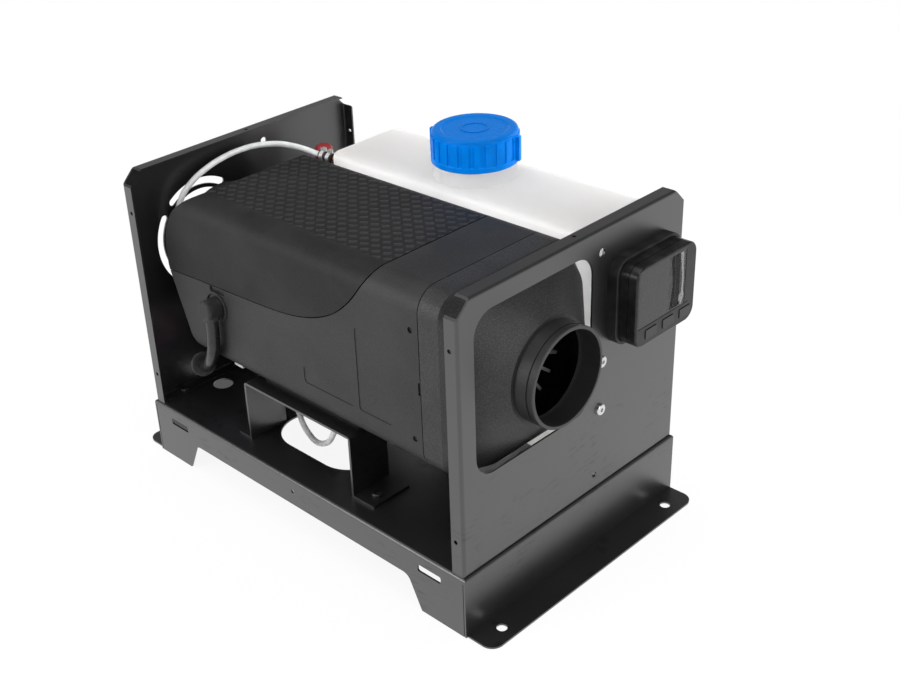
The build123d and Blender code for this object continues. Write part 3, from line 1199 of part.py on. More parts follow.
SUCTION_ROUTE = (
    (TANK_X[0] - OUTLET_REACH, OUTLET_Y, OUTLET_Z), (-138.5, OUTLET_Y, OUTLET_Z),
    (-152.0, OUTLET_Y - 5.5, OUTLET_Z + 4.0), (-164.0, OUTLET_Y - 18.5, OUTLET_Z + 9.0),
    (-171.5, 8.0, OUTLET_Z + 12.0), (-173.0, -15.0, OUTLET_Z + 12.5),
    (-172.0, -38.0, OUTLET_Z + 10.0), (-171.0, -58.0, OUTLET_Z + 4.5),
    (-171.0, -75.0, OUTLET_Z - 6.5), (-172.0, -84.0, 212.0), (-174.0, -78.0, 184.0),
    (-174.5, -68.0, 154.0), (-174.5, -56.0, 127.0), (-174.5, -42.0, 102.0), (-173.0, -24.0, 82.0),
    (-170.0, -3.0, 68.0), (-165.0, 20.0, 62.5), (-158.0, PUMP_Y - 18.0, 64.0),
    (-151.0, PUMP_Y - 5.0, 72.0), (PUMP_X, PUMP_Y, 86.0), (PUMP_X, PUMP_Y, PUMP_INLET_TIP))
DELIVERY_ROUTE = (
    (PUMP_X, PUMP_OUT_TIP, PUMP_OUT_Z), (PUMP_X, PUMP_OUT_TIP + 14.0, PUMP_OUT_Z),
    (PUMP_X, PUMP_OUT_TIP + 24.0, PUMP_OUT_Z - 6.0), (-143.5, PUMP_OUT_TIP + 29.0, 188.5),
    (-143.0, PUMP_OUT_TIP + 29.5, 172.0), (-142.0, PUMP_OUT_TIP + 23.0, 147.0),
    (-140.0, PUMP_OUT_TIP + 10.0, 120.0), (-136.0, PUMP_OUT_TIP - 13.0, 101.0),
    (-129.0, 41.0, 90.0), (-120.0, 6.0, 86.0), (-109.0, -28.0, 89.0), (-92.0, -51.0, 92.0),
    (-73.0, -60.0, 85.0), (-64.0, -61.0, 66.0), (-56.0, -61.5, 47.0), (-42.0, -61.0, 36.0),
    (-27.0, -60.0, 42.0), (-17.0, -59.0, 60.0), (FUEL_IN_X, FUEL_IN_Y, 81.0),
    (FUEL_IN_X, FUEL_IN_Y, FUEL_IN_TIP))
CONDUIT_ROUTE = (
    (GROMMET_X, CONDUIT_Y, CONDUIT_TOP), (GROMMET_X, CONDUIT_Y, CONDUIT_TOP - 17.0),
    (GROMMET_X - 2.0, CONDUIT_Y - 0.3, CASE_Z0 + 19.0),
    (GROMMET_X - 11.0, CONDUIT_Y + 2.0, CASE_Z0 + 4.0),
    (GROMMET_X - 25.0, CONDUIT_Y + 8.0, CASE_Z0 - 8.0),
    (GROMMET_X - 38.0, CONDUIT_Y + 13.3, CASE_Z0 - 14.5),
    (GROMMET_X - 46.0, CONDUIT_Y + 16.3, CASE_Z0 - 17.5))
WIRE_ROUTE = (
    (GROMMET_X - 60.0, CONDUIT_Y + 30.0, CASE_Z0 - 20.0),
    (GROMMET_X - 53.0, CONDUIT_Y + 42.0, CASE_Z0 - 18.0),
    (GROMMET_X - 40.0, CONDUIT_Y + 42.0, CASE_Z0 - 16.0),
    (GROMMET_X - 29.0, CONDUIT_Y + 35.0, CASE_Z0 - 13.0))


def joiner_places():
    """Ends of each sleeve, centred on the face where tube and nozzle meet."""
    half = JOINER_LENGTH / 2
    tank_tip = TANK_X[0] - OUTLET_REACH
    return [((tank_tip - half, OUTLET_Y, OUTLET_Z), (tank_tip + half, OUTLET_Y, OUTLET_Z)),
            ((PUMP_X, PUMP_Y, PUMP_INLET_TIP - half), (PUMP_X, PUMP_Y, PUMP_INLET_TIP + half)),
            ((PUMP_X, PUMP_OUT_TIP - half, PUMP_OUT_Z), (PUMP_X, PUMP_OUT_TIP + half, PUMP_OUT_Z)),
            ((FUEL_IN_X, FUEL_IN_Y, FUEL_IN_TIP - half), (FUEL_IN_X, FUEL_IN_Y, FUEL_IN_TIP + half))]


def sleeve(start, end, outer, inner):
    line = Line(start, end)
    plane = Plane(origin=line @ 0, z_dir=line % 0)
    return extrude(plane * Circle(outer), line.length) - extrude(plane * Circle(inner), line.length)


def hose_joiners():
    """Rubber sleeves over the tube ends and the nozzles."""
    return [sleeve(start, end, JOINER_R, TUBE_R) for start, end in joiner_places()]


def hose_clips():
    """Two spring clips round each sleeve, with the ears of the band standing up."""
    clips = []
    for start, end in joiner_places():
        line = Line(start, end)
        for share in (CLIP_SHARE, 1 - CLIP_SHARE):
            plane = Plane(origin=line @ share, z_dir=line % 0)
            band = extrude(plane * Circle(CLIP_R), CLIP_WIDTH / 2, both=True)
            for side in (-1, 1):
                ear = Pos(CLIP_R + CLIP_EAR / 2 - CLIP_BAND, side * CLIP_BAND, 0) \
                    * Box(CLIP_EAR, CLIP_BAND, CLIP_WIDTH)
                band += plane.location * ear
            clips.append(band - extrude(plane * Circle(JOINER_R), CLIP_WIDTH, both=True))
    return clips


def wire_grommet():
    """Moulded outlet on the side of the casing; the conduit comes out of it downwards."""
    front = CONDUIT_Y - GROMMET_SLEEVE
    boss = rod_y(front, CASE_Y0, GROMMET_X, GROMMET_Z, GROMMET_R)
    boss = fillet(boss.edges().group_by(Axis.Y)[0], GROMMET_R / 3)
    boss += rod_z(CONDUIT_TOP - GROMMET_GRIP, GROMMET_Z, GROMMET_X, CONDUIT_Y, GROMMET_SLEEVE)
    boss += rod_y(CASE_Y0, CASE_Y0 + WALL, GROMMET_X, GROMMET_Z, GROMMET_HOLE)
    return boss - rod_z(CONDUIT_TOP - GROMMET_GRIP - PAST, CONDUIT_TOP, GROMMET_X, CONDUIT_Y,
                        CONDUIT_R)


def conduit_end():
    """Where the conduit ends and which way it points there, with its x direction upwards."""
    before, end = Vector(*CONDUIT_ROUTE[-2]), Vector(*CONDUIT_ROUTE[-1])
    way = end - before
    level = Vector(0, 0, 1).cross(way)
    return Plane(origin=end, x_dir=way.cross(level), z_dir=way)


def conduit_ferrule():
    plane = conduit_end()
    ring = extrude(plane * Circle(FERRULE_R), -FERRULE_LENGTH)
    ring = fillet(ring.edges(), FERRULE_ROUND)
    return ring - extrude(plane * Circle(CONDUIT_R), -FERRULE_LENGTH)


def wire(name, place):
    """One wire from the end face of the conduit round to the connector."""
    plane = conduit_end()
    aside = place * WIRE_SPREAD
    start = plane.from_local_coords((aside, 0, 0))
    away = plane.from_local_coords((aside, 0, WIRE_LEAD))
    x = CONNECTOR_X[0]
    middle = [(px, py, pz + aside) for px, py, pz in WIRE_ROUTE]
    z = CASE_Z0 - CONNECTOR_HEIGHT / 2 + aside
    points = [tuple(start), tuple(away), *middle, (x - WIRE_LEAD, CONNECTOR_Y, z), (x, CONNECTOR_Y, z)]
    return routed(name, points, WIRE_R)


def wire_connector():
    """White plug that the wires end in, clipped under the casing."""
    half = CONNECTOR_WIDTH / 2
    body = block(*CONNECTOR_X, CONNECTOR_Y - half, CONNECTOR_Y + half,
                 CASE_Z0 - CONNECTOR_HEIGHT, CASE_Z0)
    return fillet(body.edges().filter_by(Axis.X), CONNECTOR_ROUND)


# ---------------------------------------------------------------- controller

def holder_screw_places():
    middle = (HOLDER_Y[0] + HOLDER_Y[1]) / 2
    z = (HOLDER_ZZ[0] + HOLDER_ZZ[1]) / 2
    return [(middle - HOLDER_SCREW_OUT, z), (middle + HOLDER_SCREW_OUT, z)]


def countersunk(y, z):
    x = PLATE_X + HOLDER_BACK / 2
    return Pos(x, y, z) * Rot(0, 90, 0) * Cone(PLATE_SCREW, 2 * PLATE_SCREW, HOLDER_BACK)


def controller_holder():
    """Tray on the outlet plate that the controller snaps into."""
    holder = rounded_x(PLATE_X, PLATE_X + HOLDER_DEPTH, *HOLDER_Y, *HOLDER_ZZ, HOLDER_ROUND)
    holder = fillet(holder.edges().group_by(Axis.X)[-1], HOLDER_RIM / 3)
    holder -= rounded_x(PLATE_X + HOLDER_BACK, PLATE_X + HOLDER_DEPTH + PAST,
                        HOLDER_Y[0] + HOLDER_RIM, HOLDER_Y[1] - HOLDER_RIM,
                        HOLDER_ZZ[0] + HOLDER_RIM, HOLDER_ZZ[1] - HOLDER_RIM,
                        HOLDER_ROUND - HOLDER_RIM)
    for y, z in holder_screw_places():
        holder -= countersunk(y, z)
    return holder


def holder_screws():
    return [countersunk(y, z) + rod_x(PLATE_INNER, PLATE_X, y, z, PLATE_SCREW)
            for y, z in holder_screw_places()]


def case_slab(x0, x1, inset):
    return rounded_x(x0, x1, CASE_Y[0] + inset, CASE_Y[1] - inset, CASE_Z[0] + inset,
                     CASE_Z[1] - inset, CASE_CORNER - inset)


def controller_case():
    case = case_slab(CASE_BACK_X, CASE_FACE_X, 0)
    case = fillet(case.edges().group_by(Axis.X)[-1], CASE_EDGE)
    groove = case_slab(CASE_GROOVE_X, CASE_GROOVE_X + CASE_GROOVE, -PAST)
    groove -= case_slab(CASE_GROOVE_X - PAST, CASE_GROOVE_X + PAST + CASE_GROOVE, CASE_GROOVE)
    case -= groove
    case -= case_slab(CASE_BACK_X - PAST, CASE_FACE_X - CASE_WALL, CASE_WALL)
    case -= rounded_x(CASE_FACE_X - SCREEN_DEEP, CASE_FACE_X + PAST, *SCREEN_Y, *SCREEN_Z,
                      SCREEN_ROUND)
    for number in range(BUTTON_COUNT):
        case -= button_bar(number, CASE_FACE_X - CASE_WALL - PAST, CASE_FACE_X + PAST,
                           BUTTON_GAP)
    return case


def controller_back():
    """Rear cover with four posts for the circuit board."""
    back = case_slab(CASE_BACK_X, CASE_BACK_X + CASE_WALL, CASE_WALL)
    board_y, board_z = controller_board_edges()
    for y in (board_y[0] + POST_IN, board_y[1] - POST_IN):
        for z in (board_z[0] + POST_IN, board_z[1] - POST_IN):
            back += rod_x(CASE_BACK_X + CASE_WALL, PCB_X, y, z, POST_R)
    return back


def controller_screen():
    return rounded_x(CASE_FACE_X - SCREEN_DEEP, CASE_FACE_X, *SCREEN_Y, *SCREEN_Z, SCREEN_ROUND)


def controller_board_edges():
    inset = CASE_WALL + PCB_CLEAR
    return ((CASE_Y[0] + inset, CASE_Y[1] - inset), (CASE_Z[0] + inset, CASE_Z[1] - inset))


def controller_board():
    board_y, board_z = controller_board_edges()
    board = rounded_x(PCB_X, PCB_X + BOARD_THICK, *board_y, *board_z, CASE_CORNER - CASE_WALL)
    top = PCB_X + BOARD_THICK
    for number in range(BUTTON_COUNT):
        y, z = button_middle(number)
        half = SWITCH_SIZE / 2
        board += block(top, SWITCH_TOP, y - half, y + half, z - half, z + half)
    return board


def button_middle(number):
    return (BUTTON_Y0 + BUTTON_WIDTH / 2 + number * BUTTON_STEP, (BUTTON_Z[0] + BUTTON_Z[1]) / 2)


def button_bar(number, x0, x1, grow):
    y, z = button_middle(number)
    half_y = BUTTON_WIDTH / 2 + grow
    half_z = (BUTTON_Z[1] - BUTTON_Z[0]) / 2 + grow
    return rounded_x(x0, x1, y - half_y, y + half_y, z - half_z, z + half_z, BUTTON_ROUND + grow)


def button(number):
    """A key with a lip behind the case front that keeps it in."""
    lip_front = CASE_FACE_X - CASE_WALL - BUTTON_GAP
    lip_back = lip_front - BUTTON_LIP
    key = button_bar(number, lip_back, CASE_FACE_X + BUTTON_PROUD, 0)
    key = fillet(key.edges().group_by(Axis.X)[-1], BUTTON_PROUD / 2)
    return key + button_bar(number, lip_back, lip_front, 2 * BUTTON_GAP)


# ---------------------------------------------------------------- output
save("base_tray", base_tray())
save("outlet_plate", outlet_plate())
save("inlet_plate", inlet_plate())
save("plate_screws", *plate_screws())
save("upper_cover", upper_cover())
save("lower_casing", lower_casing())
save("outlet_hood", outlet_hood())
save("inlet_ring", inlet_ring())
save("motor_shaft", motor_shaft())
save("heating_fan", heating_fan())
save("combustion_wheel", combustion_wheel())
save("fan_motor", fan_motor())
save("blower_housing", blower_housing())
save("burner_head", burner_head())
save("burner_tube", burner_tube())
save("glow_plug", glow_plug())
save("heat_exchanger", heat_exchanger())
save("overheat_sensor", overheat_sensor())
save("exhaust_stub", pipe_stub(EXHAUST_X))
save("intake_stub", pipe_stub(INTAKE_X))
save("fuel_inlet", fuel_inlet())
save("control_board", control_board())
save("mounting_gasket", mounting_gasket())
save("heater_bracket", heater_bracket())
save("bracket_screws", *bracket_screws())
save("mount_studs", *mount_studs())
save("mount_nuts", *mount_nuts())
save("fuel_tank", fuel_tank())
save("tank_cap", tank_cap())
save("cap_liner", cap_liner())
save("tank_outlet", tank_outlet())
save("tank_clamp", tank_clamp())
save("clamp_screws", *clamp_screws())
save("tank_stop", tank_stop())
save("stop_screws", *stop_screws())
save("fuel_pump", fuel_pump())
save("pump_plunger", pump_plunger())
save("pump_cap", pump_cap())
save("pump_holder", pump_holder())
save("pump_cradle", pump_cradle())
save("cradle_screws", *cradle_screws())
save("suction_tube", routed("suction_tube", SUCTION_ROUTE, TUBE_R))
save("delivery_tube", routed("delivery_tube", DELIVERY_ROUTE, TUBE_R))
save("hose_joiners", *hose_joiners())
save("hose_clips", *hose_clips())
save("wire_grommet", wire_grommet())
save("conduit", routed("conduit", CONDUIT_ROUTE, CONDUIT_R))
save("conduit_ferrule", conduit_ferrule())
save("wire_red", wire("wire_red", 1))
save("wire_blue", wire("wire_blue", -1))
save("wire_connector", wire_connector())
save("controller_holder", controller_holder())
save("holder_screws", *holder_screws())
save("controller_case", controller_case())
save("controller_back", controller_back())
save("controller_screen", controller_screen())
save("controller_board", controller_board())
for number in range(BUTTON_COUNT):
    save(f"button_{number + 1}", button(number))
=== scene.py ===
"""Looks of the open frame diesel air heater: finishes, the screen's film and seam, the studio."""

import math

import bmesh
import bpy
from bpy.props import FloatProperty, FloatVectorProperty, IntProperty, PointerProperty
from mathutils import Matrix, Vector


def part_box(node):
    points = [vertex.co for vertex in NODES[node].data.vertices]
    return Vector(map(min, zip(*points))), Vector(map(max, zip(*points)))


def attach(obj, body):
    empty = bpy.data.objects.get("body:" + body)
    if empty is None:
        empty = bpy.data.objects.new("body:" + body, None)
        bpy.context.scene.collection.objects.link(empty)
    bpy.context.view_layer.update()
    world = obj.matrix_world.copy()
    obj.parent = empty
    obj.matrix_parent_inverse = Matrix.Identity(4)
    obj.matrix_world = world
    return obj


bl_info = {
    "name": "Diesel air heater",
    "version": (1, 0, 0),
    "blender": (4, 5, 0),
    "location": "3D View > Sidebar > Heater",
    "description": "Finishes, screen film and studio for an open frame diesel air heater",
    "category": "Object",
}

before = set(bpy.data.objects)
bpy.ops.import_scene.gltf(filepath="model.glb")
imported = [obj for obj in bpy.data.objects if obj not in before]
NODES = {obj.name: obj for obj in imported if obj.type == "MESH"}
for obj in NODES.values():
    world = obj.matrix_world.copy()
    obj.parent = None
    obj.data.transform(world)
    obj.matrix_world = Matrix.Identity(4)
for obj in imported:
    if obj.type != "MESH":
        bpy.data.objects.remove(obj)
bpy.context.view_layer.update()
KEYS = ("button_1", "button_2", "button_3")
WHITE = (1.0, 1.0, 1.0, 1.0)
MM = 0.001


def colour(name, text, default):
    return FloatVectorProperty(name=name, description=text, subtype="COLOR", size=3,
                               min=0.0, max=1.0, default=default)


def length(name, text, default):
    return FloatProperty(name=name, description=text, unit="LENGTH", subtype="DISTANCE",
                         default=default, precision=5)


def factor(name, text, default):
    return FloatProperty(name=name, description=text, subtype="FACTOR", min=0.0, max=1.0,
                         default=default)


class HeaterColours(bpy.types.PropertyGroup):
    """Colours of the finishes, as scene linear values, and how clear the tank is."""

    paint: colour("Frame paint", "Satin black powder coat", (0.0045, 0.0045, 0.005))
    casing: colour("Casing", "Charcoal casing plastic", (0.0115, 0.0115, 0.0122))
    hood: colour("Outlet hood", "Coarse grained charcoal plastic", (0.013, 0.013, 0.0142))
    tank: colour("Tank", "Milky tank plastic", (0.930, 0.927, 0.924))
    clearness: factor("Tank clearness", "Share of the tank's shader that passes light", 0.83)
    cap: colour("Tank cap", "Moulded blue", (0.0003, 0.205, 0.76))
    tube: colour("Fuel tube", "Clear nylon, pale grey", (0.86, 0.87, 0.87))
    pump_cap: colour("Pump cap", "Moulded red", (0.23, 0.008, 0.011))
    red: colour("Red wire", "Insulation", (0.56, 0.03, 0.025))
    blue: colour("Blue wire", "Insulation", (0.015, 0.09, 0.42))
    rubber: colour("Rubber", "Black moulded rubber", (0.009, 0.009, 0.0095))
    case: colour("Controller", "Glossy black shell", (0.006, 0.006, 0.0065))
    board: colour("Circuit board", "Solder mask", (0.012, 0.12, 0.05))


class HeaterSizes(bpy.types.PropertyGroup):
    """Sizes of grain, relief and film."""

    leather: length("Leather grain", "Width of one cell of the casing's grain", 1.1 * MM)
    sparkle: length("Hood grain", "Width of one cell of the hood's grain", 1.0 * MM)
    orange_peel: length("Orange peel", "Width of a ripple in the frame's paint", 1.6 * MM)
    scale_width: length("Relief width", "Width of one raised dash on the top cover", 8.0 * MM)
    scale_depth: length("Relief step", "From one raised dash to the next", 9.4 * MM)
    film_lift: length("Film lift", "How far the screen film's folds stand off", 0.55 * MM)
    film_steps: IntProperty(name="Film detail", description="Faces along the film", default=56,
                            min=8, max=120)


class HeaterStage(bpy.types.PropertyGroup):
    """Floor, lamps and camera."""

    floor: FloatProperty(name="Floor size", description="Side of the floor", unit="LENGTH",
                         default=16.0)
    sky: FloatProperty(name="Surroundings", description="Light from all round", default=0.62)
    ceiling: FloatProperty(name="Ceiling", description="What shines see overhead", default=0.2)
    horizon: FloatProperty(name="Horizon", description="Height at which the ceiling starts",
                           default=0.05)
    key: FloatProperty(name="Key lamp", description="Strength of the large lamp above",
                       unit="POWER", default=12.0)
    fill: FloatProperty(name="Fill lamp", description="Strength of the lamp at the outlet end",
                        unit="POWER", default=11.0)
    front: FloatProperty(name="Front lamp", description="Strength of the lamp at the front",
                         unit="POWER", default=18.0)
    back: FloatProperty(name="Back lamp", description="Strength of the lamp behind the tank",
                        unit="POWER", default=32.0)
    lens: FloatProperty(name="Lens", description="Focal length in millimetres", default=51.966)
    azimuth: FloatProperty(name="Azimuth", description="Camera's turn round the heater",
                           subtype="ANGLE", default=math.radians(48.94))
    elevation: FloatProperty(name="Elevation", description="Camera's height above the horizon",
                             subtype="ANGLE", default=math.radians(28.83))
    roll: FloatProperty(name="Roll", description="Camera's turn about its own line of sight",
                        subtype="ANGLE", default=math.radians(-4.3))
    place: FloatVectorProperty(name="Camera place", description="Where the camera stands",
                               subtype="TRANSLATION", size=3, default=(0.6757, -0.6366, 0.6361))
    shift: FloatVectorProperty(name="Shift", description="Camera shift across and up", size=2,
                               default=(0.1074, 0.0057))


class Signal:
    """A socket's value in a finish, on which sums can be written."""

    def __init__(self, finish, socket):
        self.finish = finish
        self.socket = socket

    def sum(self, operation, *values):
        return self.finish.node("ShaderNodeMath", {"operation": operation}, values)

    def __add__(self, other):
        return self.sum("ADD", self, other)

    def __radd__(self, other):
        return self.sum("ADD", other, self)

    def __sub__(self, other):
        return self.sum("SUBTRACT", self, other)

    def __rsub__(self, other):
        return self.sum("SUBTRACT", other, self)

    def __mul__(self, other):
        return self.sum("MULTIPLY", self, other)

    def __truediv__(self, other):
        return self.sum("DIVIDE", self, other)

    def root(self):
        """The square root."""
        return self.sum("SQRT", self)

    def size(self):
        """The value without its sign."""
        return self.sum("ABSOLUTE", self)

    def whole(self):
        """The whole number at or below the value."""
        return self.sum("FLOOR", self)

    def part(self):
        """What the value has over that whole number."""
        return self.sum("FRACT", self)

    def wave(self):
        """The sine."""
        return self.sum("SINE", self)

    def over(self, low, high):
        """0 below low, 1 above high, smooth between."""
        settings = {"interpolation_type": "SMOOTHSTEP", "clamp": True}
        return self.finish.node("ShaderNodeMapRange", settings,
                                {"Value": self, "From Min": low, "From Max": high})

    def under(self, low, high):
        """1 below low, 0 above high, smooth between."""
        return 1 - self.over(low, high)

    def between(self, low, high, soft):
        """1 from low to high, with edges as wide as soft inside them."""
        return self.over(low, low + soft) * self.under(high - soft, high)


class Surroundings:
    """Nodes of the world or of a material."""

    def __init__(self, owner):
        owner.use_nodes = True
        self.tree = owner.node_tree
        self.tree.nodes.clear()

    def node(self, kind, settings, values, output=0):
        """A new node's output; values go to its inputs by name or in order."""
        made = self.tree.nodes.new(kind)
        for name, value in settings.items():
            if name == "stops":
                ramp = made.color_ramp.elements
                while len(ramp) < len(value):
                    ramp.new(0.5)
                for stop, (at, shade) in zip(ramp, value):
                    stop.position = at
                    stop.color = (*shade, 1.0)
            else:
                setattr(made, name, value)
        pairs = values.items() if isinstance(values, dict) else enumerate(values)
        for socket, value in pairs:
            if isinstance(value, Signal):
                self.tree.links.new(value.socket, made.inputs[socket])
            else:
                made.inputs[socket].default_value = value
        return Signal(self, made.outputs[output])

    def ray(self, kind):
        """1 for rays of a kind, else 0."""
        return self.node("ShaderNodeLightPath", {}, {}, kind)

    def out(self, shader, kind="ShaderNodeOutputMaterial"):
        """Ends the nodes in a shader."""
        made = self.tree.nodes.new(kind)
        self.tree.links.new(shader.socket, made.inputs["Surface"])


def darker(shade, amount):
    """A colour times an amount; above 1 it gets brighter and keeps its hue."""
    return tuple(value * amount for value in shade[:3])


def lighter(shade, amount):
    """A colour with an amount of white added."""
    return tuple(value + (1 - value) * amount for value in shade[:3])


# a Mix node has sockets for each kind of value; these belong to colours
MIX_FACTOR, MIX_FIRST, MIX_SECOND, MIX_RESULT = 0, 6, 7, 2


class Finish(Surroundings):
    """One material, built from nodes."""

    def __init__(self, name):
        self.material = bpy.data.materials.new(name)
        super().__init__(self.material)
        self.place = self.node("ShaderNodeTexCoord", {}, {}, "Object")

    def along(self, axes):
        """Place on the object along the named axes, in metres."""
        return [self.node("ShaderNodeSeparateXYZ", {}, [self.place], axis.upper())
                for axis in axes]

    def facing_up(self):
        """1 where the surface faces straight up, less where it leans."""
        normal = self.node("ShaderNodeNewGeometry", {}, {}, "True Normal")
        return self.node("ShaderNodeSeparateXYZ", {}, [normal], "Z")

    def stretched(self, x, y, z):
        """The place, scaled on each axis: a pattern is drawn out where the scale is small."""
        return self.node("ShaderNodeMapping", {}, {"Vector": self.place, "Scale": (x, y, z)})

    def noise(self, width, detail=3.0, rough=0.55, place=None):
        """Soft noise about as wide as asked, or at a stretched place."""
        values = {"Vector": place or self.place, "Scale": 1.0 / width, "Detail": detail,
                  "Roughness": rough}
        return self.node("ShaderNodeTexNoise", {}, values, "Fac")

    def cells(self, width):
        """Distance from the middle of the nearest cell, for cells of a width."""
        values = {"Vector": self.place, "Scale": 1.0 / width}
        return self.node("ShaderNodeTexVoronoi", {"feature": "F1"}, values, "Distance")

    def mix(self, factor, first, second):
        """The first colour where the factor is 0, the second where it is 1."""
        values = {MIX_FACTOR: factor, MIX_FIRST: self.shade(first),
                  MIX_SECOND: self.shade(second)}
        return self.node("ShaderNodeMix", {"data_type": "RGBA"}, values, MIX_RESULT)

    def drift(self, clouds, base, dark, pale):
        """A colour that drifts with the clouds from a darker to a paler tone."""
        return self.mix(clouds.over(0.3, 0.7), darker(base, dark), lighter(base, pale))

    def within(self, box, lip, soft):
        """1 across y and z within a box, 0 on a lip along its edges."""
        low, high = box
        y, z = self.along("yz")
        across = y.between(low.y + lip, high.y - lip, soft)
        return across * z.between(low.z + lip, high.z - lip, soft)

    def shade(self, value):
        """A colour as a socket takes it; a signal stays as it is."""
        return value if isinstance(value, Signal) else (*value[:3], 1.0)

    def bump(self, height, depth, strength=1.0, under=None):
        """A normal for relief of a depth, on top of another normal if one is given."""
        values = {"Height": height, "Distance": depth, "Strength": strength}
        if under is not None:
            values["Normal"] = under
        return self.node("ShaderNodeBump", {}, values)

    def surface(self, base, roughness, normal=None, **constants):
        """Ends the material in a Principled shader and gives the material back."""
        self.out(self.principled(base, roughness, normal, **constants))
        return self.material

    def seen_through(self, share, inside, *values, **constants):
        """The same, with a share of the shader passing light through in one even colour."""
        skin = self.principled(*values, **constants)
        lit = self.node("ShaderNodeBsdfTranslucent", {}, {"Color": self.shade(inside)}, "BSDF")
        self.out(self.node("ShaderNodeMixShader", {}, [share, skin, lit]))
        return self.material

    def principled(self, base, roughness, normal=None, **constants):
        """Principled shader; constants are its other sockets, with _ for a space."""
        values = {"Base Color": self.shade(base), "Roughness": roughness}
        if normal is not None:
            values["Normal"] = normal
        for name, value in constants.items():
            values[name.replace("_", " ")] = value
        return self.node("ShaderNodeBsdfPrincipled", {}, values, "BSDF")


# ---------------------------------------------------------------- finishes

WANDER = 2.2                      # width of the leather grain's drift, in cells
RELIEF_TURN = math.radians(47.0)  # turn of the relief's columns on the top cover
RELIEF_FRONT = -86 * MM           # y at which the relief begins
RELIEF_INLET = -134 * MM          # x at which it begins
COLLAR_ROOT = 187 * MM            # x at which the warm air collar leaves the hood
COLLAR_RIM = 203.2 * MM           # x at which the painted highlight on its rim begins
CAP_ROOF = 286.5 * MM             # z at which the cap's ribs end and its top begins
SEAM_HALF = 0.25 * MM             # half the width of the tank's parting line
KEY_LIP = 0.6 * MM                # painted shade, as a dark outline in the gap round each key
WINDOW_LIP = 2.4 * MM             # darker border of the screen's window
CREASE = 77.8 * MM                # y round which the crease in its film wanders
DULL_END = 84 * MM                # y at which the dull part of the film ends
LOOSE_EDGE = 87.3 * MM            # y round which the film's loose edge wanders


def powder_coat():
    """Satin black paint: fine orange peel, dust, and faint scuffs and smears lower down."""
    look = bpy.context.scene.heater_colours
    sizes = bpy.context.scene.heater_sizes
    f = Finish("frame_powder_coat")
    z, = f.along("z")
    grain = f.noise(sizes.orange_peel, 4.0, 0.6)
    clouds = f.noise(60 * MM, 3.0)
    specks = f.cells(2.6 * MM).under(0.03, 0.09) * f.noise(22 * MM, 2.0).over(0.52, 0.66)
    rubs = f.noise(1.0, 5.0, 0.7, f.stretched(30.0, 30.0, 900.0)).over(0.60, 0.72)
    low = z.under(50 * MM, 130 * MM) * f.noise(40 * MM, 2.0).over(0.42, 0.62)
    scuffs = rubs * low
    tone = f.drift(clouds, look.paint, 0.8, 0.001)
    tone = f.mix(specks * 0.25, tone, (0.07, 0.07, 0.07))
    tone = f.mix(scuffs * 0.3, tone, (0.02, 0.02, 0.021))
    streaks = f.noise(1.0, 4.0, 0.6, f.stretched(60.0, 70.0, 480.0)).over(0.54, 0.66)
    patch = f.noise(38 * MM, 2.0).over(0.46, 0.60) * z.under(100 * MM, 135 * MM)
    smears = streaks * patch
    tone = f.mix(smears * 0.7, tone, (0.001, 0.001, 0.001))
    peel = f.bump(grain, 0.05 * MM, 0.8)
    peel = f.bump(f.noise(0.35 * MM, 2.0), 0.02 * MM, 0.6, peel)
    rough = 0.30 + clouds * 0.06 + scuffs * 0.14 + grain * 0.05
    return f.surface(tone, rough, peel, Specular_IOR_Level=0.95, Coat_Weight=0.5 - smears * 0.4,
                     Coat_Roughness=0.32)


def casing_grain():
    """Moulded charcoal plastic with leather grain and a little dust."""
    base = bpy.context.scene.heater_colours.casing
    width = bpy.context.scene.heater_sizes.leather
    f = Finish("casing_leather_grain")
    cells = f.cells(width)
    wander = f.noise(width * WANDER, 3.0)
    height = cells * 0.7 + wander * 0.6
    clouds = f.noise(45 * MM, 3.0)
    dust = f.cells(4.2 * MM).under(0.02, 0.05) * f.noise(30 * MM, 2.0).over(0.5, 0.62)
    tone = f.drift(clouds, base, 0.86, 0.006)
    tone = f.mix(cells.under(0.05, 0.5) * 0.25, tone, lighter(base, 0.035))
    tone = f.mix(dust * 0.4, tone, (0.16, 0.16, 0.16))
    rough = 0.50 + clouds * 0.08 + cells * 0.1
    return f.surface(tone, rough, f.bump(height, 0.11 * MM, 0.9), Specular_IOR_Level=0.48)


